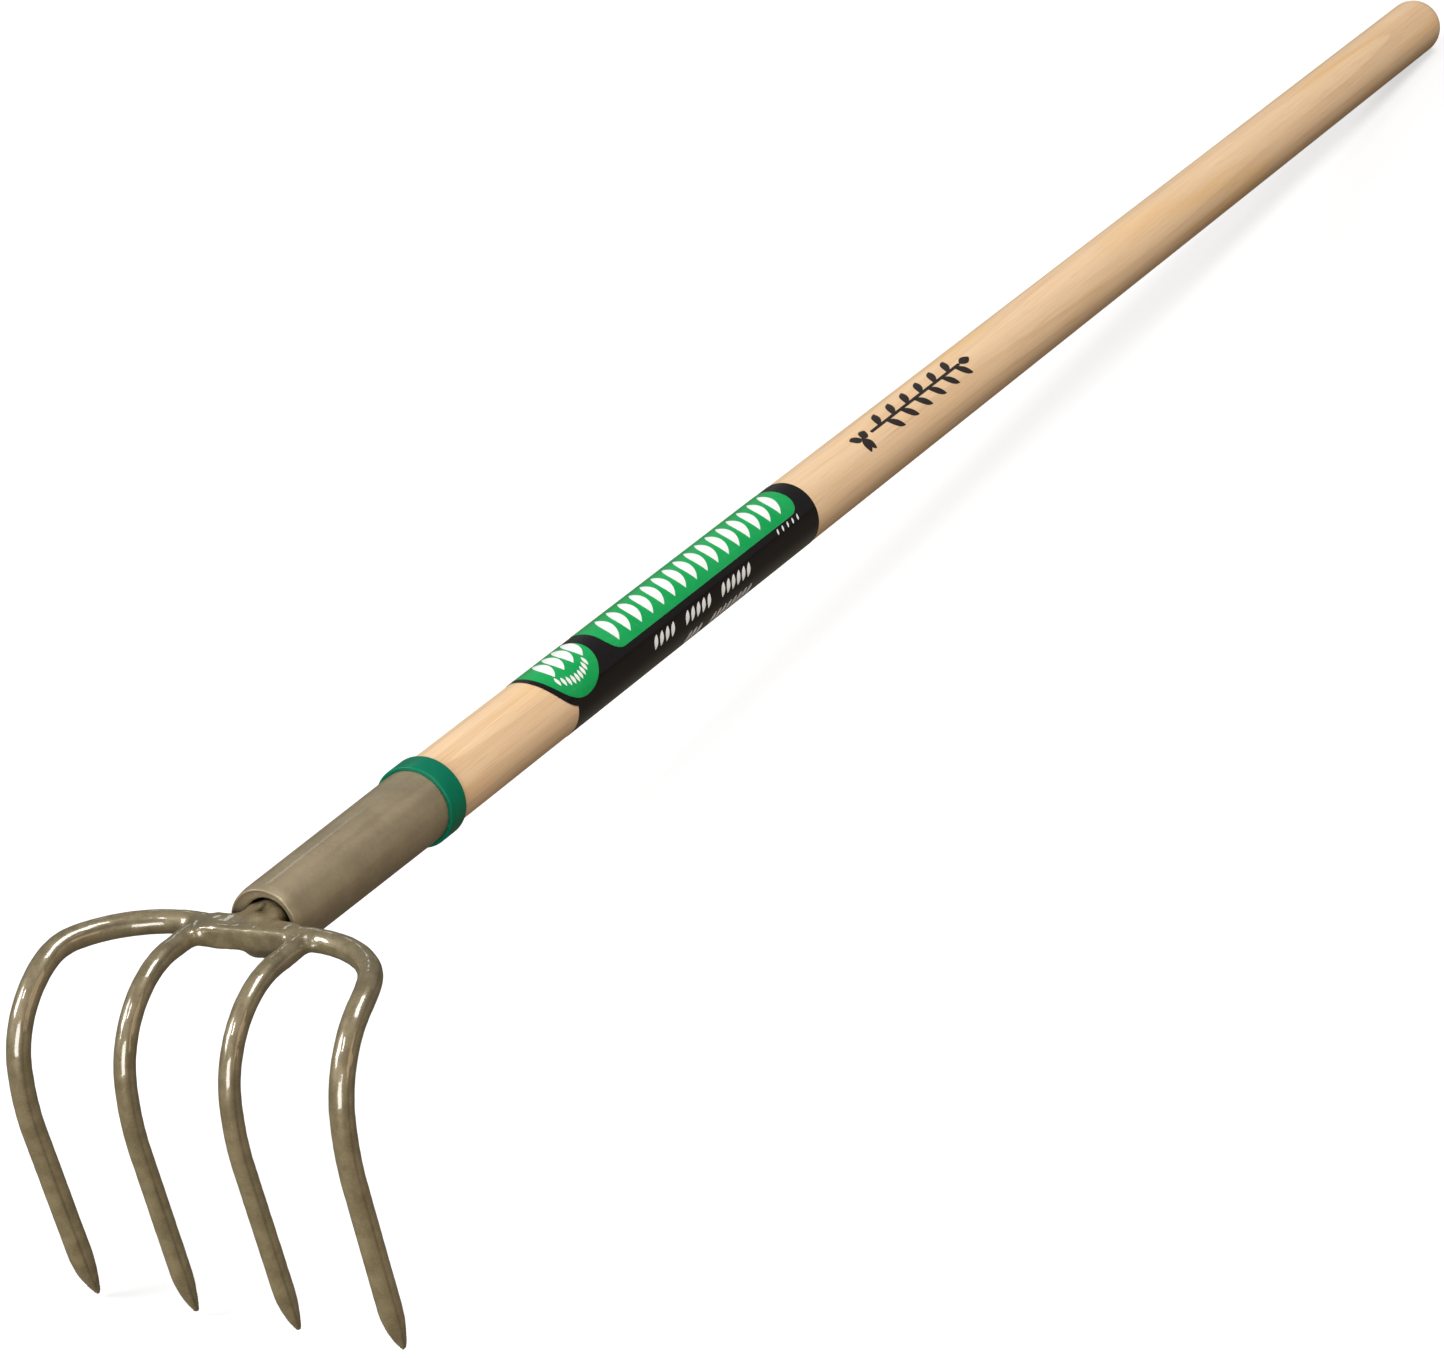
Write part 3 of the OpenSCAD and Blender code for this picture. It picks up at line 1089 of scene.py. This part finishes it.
    def true_up(self, bm: bmesh.types.BMesh) -> dict[int, float]:
        """Draws the free lengths of the tines back to their exact round section.

        Args:
            bm: The smoothed skin.

        Returns:
            How strongly the parting crease shows at each vertex, which the enamel darkens as painted shade.
        """
        stations = [(s, bar) for bar in self.bars() for s in bar.stations()]
        tree = kdtree.KDTree(len(stations))
        for i, (station, _) in enumerate(stations):
            tree.insert(station.place, i)
        tree.balance()
        creases: dict[int, float] = {}
        for v in bm.verts:
            station, bar = stations[tree.find(v.co)[1]]
            offset = v.co - station.place
            ahead = offset.dot(station.ahead)
            radial = offset - station.ahead * ahead
            free = ease(station.travelled, bar.free_from, bar.free_from + 0.008)
            creases[v.index] = 0.0
            if radial.length < 1e-5 or ahead > 0.0012 or free <= 0.0:
                continue
            angle = math.degrees(math.atan2(radial.dot(station.up), radial.dot(station.side)))
            crease_turn = self.crease_turn if bar.hand is Side.RIGHT else 180.0 - self.crease_turn
            gap = abs((angle - crease_turn + 90.0) % 180.0 - 90.0)
            crease = math.exp(-(math.radians(gap) * station.radius / self.crease_width) ** 2)
            wander = 0.5 + 0.5 * noise.noise(v.co * 120.0)
            wave = 0.00009 * noise.noise(v.co * 260.0)
            target = station.radius - self.crease_depth * crease * wander + wave - 0.00006
            target = max(target, 0.0004)
            v.co += radial.normalized() * (target - radial.length) * free
            creases[v.index] = crease * free * (0.35 + 0.65 * wander)
        return creases

    def notches(self) -> list[Vector]:
        """Returns the places of the notches between the tine roots."""
        across, along, height = self.notch_place
        return [Vector((side.value * across, along, height)) for side in Side]

    def weather(self, bm: bmesh.types.BMesh) -> None:
        """Adds hammer dents, the wavy front edge and the notches between the tine roots.

        Args:
            bm: The skin.
        """
        bm.normal_update()
        notches = self.notches()
        for v in bm.verts:
            near_block = 1.0 - ease(max(abs(v.co.x) - 0.030, -0.022 - v.co.y), 0.0, 0.010)
            if v.co.y > 0.004 or near_block <= 0.0:
                continue
            dent = noise.noise(v.co * 260.0) * 0.00016 + noise.noise(v.co * 620.0) * 0.00004
            ripple = noise.noise(Vector((v.co.x * 150.0, 3.1, v.co.z * 60.0)))
            front = ease(-v.co.y, 0.0120, 0.0165) * 0.00040 * ripple
            fold = self.fold_depth * math.exp(-((v.co.x - self.fold_x) / self.fold_width) ** 2)
            front -= fold * ease(v.co.z, 0.0030, 0.0055) * ease(v.co.y, -0.0030, -0.0010)
            near = sum(math.exp(-((v.co - spot).length / self.notch_r) ** 2) for spot in notches)
            notch = near * self.notch_depth
            v.co += v.normal * (dent + front - notch) * near_block

    def build(self, shop: Workshop) -> bpy.types.Object:
        """Builds the forging.

        Args:
            shop: The axes and finishes.

        Returns:
            The piece.
        """
        bm = bmesh.new()
        for bar in self.bars():
            bar.draw(bm)
        self.draw_block(bm)
        self.draw_boss(bm)
        skin = self.union(bm)
        bm = bmesh.new()
        bm.from_mesh(skin)
        bpy.data.meshes.remove(skin)
        root = [v for v in bm.verts if v.co.z > -0.030]
        for verts, rounds in ((root, 8), (bm.verts, 3)):
            for _ in range(rounds):
                bmesh.ops.smooth_vert(bm, verts=verts, factor=0.5, use_axis_x=True,
                                      use_axis_y=True, use_axis_z=True)
        bm.verts.index_update()
        self.weather(bm)
        creases = self.true_up(bm)
        bm.normal_update()
        hollows = self.hollows(bm)
        # The crease and hollow layers carry the enamel's painted shade; the hollows also dull its coat.
        crease_layer = bm.verts.layers.float.new("crease")
        hollow_layer = bm.verts.layers.float.new("hollow")
        for v in bm.verts:
            v[crease_layer] = creases[v.index]
            v[hollow_layer] = hollows[v.index]
        bmesh.ops.recalc_face_normals(bm, faces=bm.faces)
        piece = finish_piece(shop, bm, "forged_head", ForgedEnamel(), 80.0)
        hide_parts("tine_outer_left", "tine_inner_left", "tine_inner_right", "tine_outer_right", "crosshead")
        return piece

    def hollows(self, bm: bmesh.types.BMesh) -> list[float]:
        """Measures how hollow the skin is at each vertex.

        Args:
            bm: The skin.

        Returns:
            A number from 0 on flat or raised skin to 1 in a tight hollow, raised beside the notches, for
            each vertex; the enamel darkens by it as painted shade.
        """
        links = [[e.other_vert(v).index for e in v.link_edges] for v in bm.verts]
        raw = []
        for v in bm.verts:
            total = sum((e.other_vert(v).co for e in v.link_edges), Vector())
            middle = total / max(1, len(v.link_edges))
            raw.append((middle - v.co).dot(v.normal))
        for _ in range(6):
            raw = [0.5 * raw[i] + 0.5 * sum(raw[k] for k in near) / max(1, len(near))
                   for i, near in enumerate(links)]
        # Painted shade: the value is raised round the notches, so the enamel darkens there.
        notches = self.notches()
        notch_shade = [max(math.exp(-((v.co - spot).length / self.notch_shade_r) ** 2) for spot in notches)
                for v in bm.verts]
        return [max(ease(value, 0.000004, 0.00005), 0.8 * extra) for value, extra in zip(raw, notch_shade)]


@dataclass(frozen=True)
class TangShank:
    """The tapered shank of the tang, driven into the end of the handle."""

    start: float = 0.0100
    end: float = 0.1000
    start_r: float = 0.0064
    entry: float = 0.0350
    entry_r: float = 0.0054
    end_r: float = 0.0034

    def build(self, shop: Workshop) -> bpy.types.Object:
        """Builds the shank.

        Args:
            shop: The axes and finishes.

        Returns:
            The piece.
        """
        corners = [(0.0, self.start, 0.0), (self.start_r, self.start, 0.0010),
                   (self.entry_r, self.entry, 0.0030), (self.end_r, self.end, 0.0016),
                   (0.0, self.end, 0.0)]
        bm = turn_profile(soften(corners), 48, False)
        cuts = [e for e in bm.edges if abs(e.verts[0].co.y - e.verts[1].co.y) > 0.01]
        bmesh.ops.subdivide_edges(bm, edges=cuts, cuts=14, use_grid_fill=True)
        for v in bm.verts:
            flat = 1.0 - 0.10 * abs(math.sin(2.0 * math.atan2(v.co.z, v.co.x)))
            dent = 1.0 + 0.02 * noise.noise(v.co * 400.0)
            v.co.x *= flat * dent
            v.co.z *= flat * dent
        piece = finish_piece(shop, bm, "tang_shank", ForgedSteel())
        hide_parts("tang")
        return piece


# ----------------------------------------------------------------------------- fittings


@dataclass(frozen=True)
class FerruleFit:
    """Sizes of the ferrule that the handle's spigot follows."""

    lip: float = -0.0004
    mouth: float = 0.1270
    nose_r: float = 0.0155
    mouth_r: float = 0.0162
    wall: float = 0.0015
    nose_end: float = 0.0036

    def radius(self, along: float) -> float:
        """Returns the outer radius at a distance from the middle of the head."""
        share = max(0.0, min(1.0, (along - self.nose_end) / (self.mouth - self.nose_end)))
        return self.nose_r + (self.mouth_r - self.nose_r) * share


@dataclass(frozen=True)
class Ferrule:
    """The drawn steel tube round the handle's end, with a thick rolled front lip."""

    fit: FerruleFit = FerruleFit()
    opening_r: float = 0.0100
    rim_r: float = 0.0134
    waist: float = 0.070

    def build(self, shop: Workshop) -> bpy.types.Object:
        """Builds the ferrule.

        Args:
            shop: The axes and finishes.

        Returns:
            The piece.
        """
        fit = self.fit
        lip, inner, wall = fit.lip, fit.nose_r - fit.wall, fit.wall
        waist = fit.radius(self.waist)
        corners = [(self.opening_r, lip + 0.0034, 0.0), (self.opening_r + 0.0006, lip + 0.0026, 0.0006),
                   (self.rim_r, lip + 0.0010, 0.0007), (self.rim_r + 0.0008, lip, 0.0007),
                   (fit.nose_r - 0.0006, lip, 0.0010), (fit.nose_r, fit.nose_end, 0.0022),
                   (waist, self.waist, 0.0), (fit.mouth_r, fit.mouth, 0.0005),
                   (fit.mouth_r - wall, fit.mouth, 0.0003), (waist - wall, self.waist, 0.0),
                   (inner, fit.nose_end + 0.0042, 0.0010), (inner - 0.0012, lip + 0.0054, 0.0008),
                   (self.opening_r, lip + 0.0040, 0.0)]
        bm = turn_profile(soften(corners, 8), 128, True)
        piece = finish_piece(shop, bm, "ferrule_tube", TubeEnamel())
        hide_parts("ferrule")
        return piece


@dataclass(frozen=True)
class FerrulePin:
    """The domed pin that locks the ferrule to the handle from below."""

    fit: FerruleFit = FerruleFit()
    along: float = 0.0750
    tip: float = 0.0059
    shank_r: float = 0.0019
    head_r: float = 0.0034
    head_h: float = 0.0010

    def build(self, shop: Workshop) -> bpy.types.Object:
        """Builds the pin.

        Args:
            shop: The axes and finishes.

        Returns:
            The piece.
        """
        skin = self.fit.radius(self.along) - 0.0001
        corners = [(0.0, self.tip, 0.0), (self.shank_r, self.tip, 0.0006), (self.shank_r, skin, 0.0),
                   (self.head_r, skin, 0.0002), (self.head_r * 0.92, skin + self.head_h * 0.55, 0.0008),
                   (self.head_r * 0.5, skin + self.head_h * 0.95, 0.0006), (0.0, skin + self.head_h, 0.0)]
        bm = turn_profile(soften(corners), 48, False)
        turned = Matrix.Translation((0.0, self.along, 0.0)) @ Matrix.Rotation(-math.pi / 2, 4, "X")
        bmesh.ops.transform(bm, matrix=turned, verts=bm.verts)
        piece = finish_piece(shop, bm, "ferrule_pin_domed", TubeEnamel())
        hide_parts("ferrule_pin")
        return piece


@dataclass(frozen=True)
class CollarRing:
    """The moulded collar pushed over the ferrule's mouth."""

    bore_r: float = 0.01625
    outer_r: float = 0.01785
    rounding: float = 0.0007

    def build(self, shop: Workshop) -> bpy.types.Object:
        """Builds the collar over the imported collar's length.

        Args:
            shop: The axes and finishes.

        Returns:
            The piece.
        """
        start, end = shop.axes.reach(frame["nodes"]["collar_ring"])
        corners = [(self.bore_r, (start + end) / 2, 0.0), (self.bore_r, start, 0.0003),
                   (self.outer_r, start, self.rounding), (self.outer_r, end, self.rounding),
                   (self.bore_r, end, 0.0003)]
        bm = turn_profile(soften(corners), 128, True)
        piece = finish_piece(shop, bm, "collar_moulded", GREEN_PLASTIC)
        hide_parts("collar_ring")
        return piece


# ----------------------------------------------------------------------------- handle


@dataclass(frozen=True)
class Handle:
    """The round wooden handle, with its turned spigot, pilot bore and domed butt."""

    fit: FerruleFit = FerruleFit()
    radius: float = 0.0160
    spigot: float = 0.0350
    pilot_r: float = 0.00555
    pilot_end_r: float = 0.00355
    pilot_depth: float = 0.0670
    rows: int = 24

    def build(self, shop: Workshop) -> bpy.types.Object:
        """Builds the handle.

        Args:
            shop: The axes and finishes.

        Returns:
            The piece.
        """
        fit = self.fit
        butt = shop.axes.reach(frame["nodes"]["handle"])[1]
        shoulder = fit.mouth + 0.0002
        gap = fit.wall + 0.00005
        pilot_end = self.spigot + self.pilot_depth
        corners = [(0.0, pilot_end, 0.0), (self.pilot_end_r, pilot_end, 0.0),
                   (self.pilot_r, self.spigot, 0.0004),
                   (fit.radius(self.spigot) - gap, self.spigot, 0.0010),
                   (fit.radius(fit.mouth) - gap, shoulder, 0.0), (self.radius, shoulder, 0.0003)]
        dome = butt - self.radius
        corners += [(self.radius, shoulder + (dome - shoulder) * k / self.rows, 0.0)
                    for k in range(1, self.rows)]
        points = soften(corners)
        for k in range(25):
            turn = math.pi / 2 * k / 24
            across, past = self.radius * math.cos(turn), self.radius * math.sin(turn)
            points.append(Vector((across, dome + past, 0.0)))
        points[-1].x = 0.0
        bm = turn_profile(points, 96, False)
        piece = finish_piece(shop, bm, "handle_shaft", LacqueredWood())
        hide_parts("handle")
        return piece


# ----------------------------------------------------------------------------- print on the handle


@dataclass
class PrintSheet:
    """Flat shapes that are wrapped round the handle as one layer of print.

    Along is measured from the middle of the head; round is the arc length from the handle's
    right-hand side, upwards.
    """

    radius: float
    thickness: float = 0.00004
    strip: float = 0.0009
    bm: bmesh.types.BMesh = field(default_factory=bmesh.new)

    def place(self, shape: bmesh.types.BMesh, along: float, round_: float,
              turn: float = 0.0) -> None:
        """Adds a shape that was drawn round the sheet's corner, in its place.

        Args:
            shape: The flat shape; it is freed.
            along: Distance along the handle.
            round_: Distance round the handle.
            turn: Turn of the shape in degrees.
        """
        turned = Matrix.Rotation(math.radians(turn), 4, "Z")
        matrix = Matrix.Translation((along, round_, 0.0)) @ turned
        bmesh.ops.transform(shape, matrix=matrix, verts=shape.verts)
        add_mesh(self.bm, shape)

    def disc(self, along: float, round_: float, radius: float) -> None:
        """Adds a disc."""
        shape = bmesh.new()
        bmesh.ops.create_circle(shape, cap_ends=True, segments=72, radius=radius)
        self.place(shape, along, round_)

    def bar(self, along: float, round_: float, length: float, width: float,
            rounding: float) -> None:
        """Adds a bar with rounded corners.

        Args:
            along: Distance of its middle along the handle.
            round_: Distance of its middle round the handle.
            length: Its length along the handle.
            width: Its width round the handle.
            rounding: Radius of its corners.
        """
        shape = bmesh.new()
        bmesh.ops.create_grid(shape, x_segments=1, y_segments=1, size=0.5)
        bmesh.ops.scale(shape, vec=(length, width, 1.0), verts=shape.verts)
        bmesh.ops.bevel(shape, geom=shape.verts[:], offset=rounding, segments=6, profile=0.5,
                        affect="VERTICES", material=-1)
        self.place(shape, along, round_)

    def leaf(self, along: float, round_: float, length: float, width: float, turn: float) -> None:
        """Adds a pointed leaf that grows from its stalk end.

        Args:
            along: Distance of its stalk end along the handle.
            round_: Distance of its stalk end round the handle.
            length: Its length.
            width: Its width.
            turn: Direction it grows in, in degrees from along the handle.
        """
        shape = bmesh.new()
        bmesh.ops.create_circle(shape, cap_ends=True, segments=40, radius=1.0)
        for v in shape.verts:
            v.co.y *= width / 2 * max(0.0, 1.0 - v.co.x ** 2) ** 0.5
            v.co.x = (v.co.x + 1.0) * length / 2
        self.place(shape, along, round_, turn)

    def wrap(self) -> bmesh.types.BMesh:
        """Bends the flat layer round the handle and gives it its thickness.

        Returns:
            The layer, in the handle's axes.
        """
        bm = self.bm
        spread = [v.co.y for v in bm.verts]
        cut = min(spread) + self.strip
        while cut < max(spread) - 1e-5:
            geom = bm.verts[:] + bm.edges[:] + bm.faces[:]
            bmesh.ops.bisect_plane(bm, geom=geom, dist=1e-6, plane_co=(0.0, cut, 0.0),
                                   plane_no=(0.0, 1.0, 0.0))
            cut += self.strip
        bmesh.ops.remove_doubles(bm, verts=bm.verts, dist=5e-6)
        for v in bm.verts:
            turn = v.co.y / 0.016
            v.co = Vector((self.radius * math.cos(turn), v.co.x, self.radius * math.sin(turn)))
        raised = bmesh.ops.extrude_face_region(bm, geom=bm.faces[:], use_keep_orig=True)["geom"]
        lift = 1.0 + self.thickness / self.radius
        outer = [g for g in raised if isinstance(g, bmesh.types.BMVert)]
        bmesh.ops.scale(bm, vec=(lift, 1.0, lift), verts=outer)
        bmesh.ops.recalc_face_normals(bm, faces=bm.faces)
        return bm


@dataclass(frozen=True)
class LeafRow:
    """A row of equal slanting leaves, level or bowed about its middle."""

    start: float
    pitch: float
    count: int
    foot: float
    length: float
    width: float
    turn: float
    bow: float = 0.0

    def draw(self, sheet: PrintSheet) -> None:
        """Draws the row on a sheet."""
        for k in range(self.count):
            foot = self.foot + self.bow * (k - (self.count - 1) / 2) ** 2
            sheet.leaf(self.start + k * self.pitch, foot, self.length, self.width, self.turn)


@dataclass(frozen=True)
class WrapLabel:
    """The glossy film wrap with its round tab, green panel and plain plant emblems."""

    film_inner: float = 0.01602
    film_outer: float = 0.01614
    tab_along: float = 0.2350
    tab_round: float = 0.0240
    tab_r: float = 0.0245
    badge_r: float = 0.0210
    panel_start: float = 0.2660
    panel_end: float = 0.4450
    panel_low: float = 0.0097
    panel_high: float = 0.0383
    panel_rounding: float = 0.0085
    word_gap: float = 0.0085
    small_lines: tuple[tuple[float, float, tuple[float, ...]], ...] = (
        (-0.0006, 0.2950, (0.0210, 0.0260, 0.0300)),
        (-0.0112, 0.3270, (0.0150, 0.0400)),
    )

    def film(self, shop: Workshop) -> bpy.types.Object:
        """Builds the black film and its round tab.

        Args:
            shop: The axes and finishes.

        Returns:
            The piece.
        """
        start, end = shop.axes.reach(frame["nodes"]["label_sleeve"])
        rows = 12
        outside = [(self.film_outer, start + (end - start) * k / rows, 0.0)
                   for k in range(rows + 1)]
        inside = [(self.film_inner, end, 0.0), (self.film_inner, start, 0.0)]
        bm = turn_profile(soften(outside + inside), 128, True)
        tab = PrintSheet(0.01616, 0.00006)
        tab.disc(self.tab_along, self.tab_round, self.tab_r)
        add_mesh(bm, tab.wrap())
        piece = finish_piece(shop, bm, "wrap_film", BLACK_FILM)
        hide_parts("label_sleeve")
        return piece

    def green_print(self, shop: Workshop) -> bpy.types.Object:
        """Builds the green panel and badge.

        Args:
            shop: The axes and finishes.

        Returns:
            The piece.
        """
        sheet = PrintSheet(0.01621)
        sheet.disc(self.tab_along, self.tab_round, self.badge_r)
        middle = (self.panel_start + self.panel_end) / 2, (self.panel_low + self.panel_high) / 2
        length, width = self.panel_end - self.panel_start, self.panel_high - self.panel_low
        sheet.bar(*middle, length, width, self.panel_rounding)
        return finish_piece(shop, sheet.wrap(), "label_green_print", GREEN_INK)

    def white_print(self, shop: Workshop) -> bpy.types.Object:
        """Builds the white rows of leaves on the panel, the badge and the lower lines.

        Args:
            shop: The axes and finishes.

        Returns:
            The piece.
        """
        sheet = PrintSheet(0.01626)
        rows = [
            LeafRow(0.2740, 0.0104, 16, 0.0132, 0.0180, 0.0064, 66.0),
            LeafRow(self.tab_along - 0.0115, 0.0082, 4, 0.0175, 0.0160, 0.0066, 66.0),
            LeafRow(self.tab_along - 0.0135, 0.0030, 9, 0.0094, 0.0046, 0.0021, 80.0, 0.00022),
        ]
        for foot, start, lengths in self.small_lines:
            for length in lengths:
                rows.append(self.leaf_run(start, foot, length))
                start += length + self.word_gap
        rows.append(LeafRow(0.4190, 0.0050, 5, 0.0062, 0.0030, 0.0014, 70.0))
        for row in rows:
            row.draw(sheet)
        return finish_piece(shop, sheet.wrap(), "label_white_print", WHITE_INK)

    @staticmethod
    def leaf_run(start: float, foot: float, length: float) -> LeafRow:
        """Fills a length of a small line with leaves.

        Args:
            start: Where the run starts along the handle.
            foot: Foot of the run round the handle.
            length: Its length.

        Returns:
            The row of leaves.
        """
        count = max(2, round(length / 0.0048))
        return LeafRow(start, length / count, count, foot, 0.0068, 0.0030, 58.0)


@dataclass(frozen=True)
class ShaftPrint:
    """A plain black sprig printed on the bare wood."""

    start: float = 0.5170
    end: float = 0.6350
    middle: float = 0.0178

    def build(self, shop: Workshop) -> bpy.types.Object:
        """Builds the print.

        Args:
            shop: The axes and finishes.

        Returns:
            The piece.
        """
        sheet = PrintSheet(0.01603, 0.00003)
        middle, length = (self.start + self.end) / 2 + 0.008, self.end - self.start - 0.018
        sheet.bar(middle, self.middle, length, 0.0016, 0.0007)
        for k in range(6):
            along = self.start + 0.0260 + k * 0.0155
            sheet.leaf(along, self.middle, 0.0125, 0.0046, 38.0)
            sheet.leaf(along + 0.0070, self.middle, 0.0125, 0.0046, -38.0)
        sheet.leaf(self.end - 0.0010, self.middle, 0.0110, 0.0046, 0.0)
        for turn in (20.0, 160.0, 250.0, 290.0):
            sheet.leaf(self.start + 0.0075, self.middle, 0.0085, 0.0050, turn)
        return finish_piece(shop, sheet.wrap(), "shaft_print", BLACK_INK)


# ----------------------------------------------------------------------------- studio


@dataclass(frozen=True)
class SoftLight:
    """One soft panel of light, given in the ground's axes."""

    name: str
    place: tuple[float, float, float]
    target: tuple[float, float, float]
    size: float
    power: float
    tint: tuple[float, float, float] = (1.0, 1.0, 1.0)

    def build(self) -> None:
        """Builds the light."""
        data = bpy.data.lights.new(self.name, "AREA")
        data.shape, data.size, data.energy, data.color = "SQUARE", self.size, self.power, self.tint
        lamp = bpy.data.objects.new(self.name, data)
        bpy.context.scene.collection.objects.link(lamp)
        direction = Vector(self.target) - Vector(self.place)
        lamp.location = self.place
        lamp.rotation_euler = direction.to_track_quat("-Z", "Y").to_euler()


@dataclass(frozen=True)
class Studio:
    """The pale floor, the soft lights, the surroundings and the camera."""

    eye: tuple[float, float, float] = (1.028567, -1.485819, 0.806270)
    right: tuple[float, float, float] = (0.8886975, 0.4505112, -0.0851844)
    up: tuple[float, float, float] = (-0.0987445, 0.3694957, 0.9239710)
    lens: float = 127.59
    floor_half: float = 15.0
    lights: tuple[SoftLight, ...] = (
        SoftLight("key_panel", (-3.10, -2.95, 3.15), (0.0, -0.45, 0.10), 2.0, 182.0),
        SoftLight("overhead_panel", (1.40, 0.45, 3.65), (0.0, -0.05, 0.05), 1.6, 98.0),
        SoftLight("front_panel", (-0.35, -2.90, 3.60), (0.0, -0.45, 0.10), 0.7, 26.0),
        SoftLight("fill_panel", (1.20, -4.70, 0.95), (0.0, -0.60, 0.05), 2.4, 150.0),
        SoftLight("rear_strip", (-1.90, 2.45, 1.75), (0.0, -0.20, 0.10), 0.4, 1.3),
        SoftLight("side_panel", (3.20, -0.90, 0.90), (0.0, -0.45, 0.08), 1.6, 17.0, (1.0, 0.70, 0.45)),
    )

    def build_floor(self) -> None:
        """Builds the plain pale floor."""
        bm = bmesh.new()
        bmesh.ops.create_grid(bm, x_segments=4, y_segments=4, size=self.floor_half)
        mesh = bpy.data.meshes.new("studio_floor")
        bm.to_mesh(mesh)
        bm.free()
        material = bpy.data.materials.new("pale_floor")
        material.use_nodes = True
        desk = NodeDesk(material.node_tree)
        seen = desk.add("Emission", Color=(1.0, 1.0, 1.0, 1.0), Strength=0.60)
        matte = desk.add("BsdfDiffuse", Color=(0.42, 0.42, 0.42, 1.0))
        both = desk.add("AddShader", i0=seen.outputs[0], i1=matte.outputs[0])
        dim = desk.add("BsdfDiffuse", Color=(0.105, 0.092, 0.074, 1.0))
        path = desk.add("LightPath").outputs["Is Camera Ray"]
        mix = desk.add("MixShader", i0=path, i1=dim.outputs[0], i2=both.outputs[0])
        desk.add("OutputMaterial", Surface=mix.outputs[0])
        mesh.materials.append(material)
        floor = bpy.data.objects.new("studio_floor", mesh)
        bpy.context.scene.collection.objects.link(floor)

    def build_surroundings(self) -> None:
        """Builds the white surroundings, dimmer as a light than as a backdrop."""
        world = bpy.data.worlds.new("studio_world")
        world.use_nodes = True
        desk = NodeDesk(world.node_tree)
        path = desk.add("LightPath").outputs["Is Camera Ray"]
        strength = desk.maths("ADD", desk.maths("MULTIPLY", path, 0.82), 0.18)
        back = desk.add("Background", Color=(1.0, 1.0, 1.0, 1.0), Strength=strength)
        desk.add("OutputWorld", Surface=back.outputs[0])
        bpy.context.scene.world = world

    def build_camera(self, axes: HandleAxes) -> None:
        """Builds the camera and makes it the scene's own.

        Args:
            axes: The handle's axes, in which the camera's place is given.
        """
        right, up = Vector(self.right).normalized(), Vector(self.up)
        up = (up - right * up.dot(right)).normalized()
        turned = Matrix((right, up, right.cross(up))).transposed().to_4x4()
        turned.translation = Vector(self.eye)
        data = bpy.data.cameras.new("view_camera")
        data.lens, data.sensor_width, data.sensor_fit = self.lens, 36.0, "HORIZONTAL"
        data.clip_start, data.clip_end = 0.05, 100.0
        camera = bpy.data.objects.new("view_camera", data)
        bpy.context.scene.collection.objects.link(camera)
        camera.matrix_world = axes.place @ turned
        bpy.context.scene.camera = camera

    def build(self, axes: HandleAxes) -> None:
        """Builds the whole studio.

        Args:
            axes: The handle's axes.
        """
        self.build_floor()
        for light in self.lights:
            light.build()
        self.build_surroundings()
        self.build_camera(axes)
        bpy.context.scene.view_settings.view_transform = "Standard"


def main() -> None:
    """Builds the tool and its studio."""
    logging.basicConfig(level=logging.INFO, format="%(name)s: %(message)s")
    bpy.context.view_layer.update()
    fit = FerruleFit()
    axes = HandleAxes.from_frame(frame, fit.lip)
    shop = Workshop(axes)
    Studio().build(axes)
    label = WrapLabel()
    pieces = [
        ForgedHead().build(shop),
        TangShank().build(shop),
        Ferrule(fit).build(shop),
        FerrulePin(fit).build(shop),
        CollarRing().build(shop),
        Handle(fit).build(shop),
        label.film(shop),
        label.green_print(shop),
        label.white_print(shop),
        ShaftPrint().build(shop),
    ]
    bpy.context.view_layer.update()
    for piece in pieces:
        log.info("%s built", piece.name)


if __name__ == "__main__":
    main()
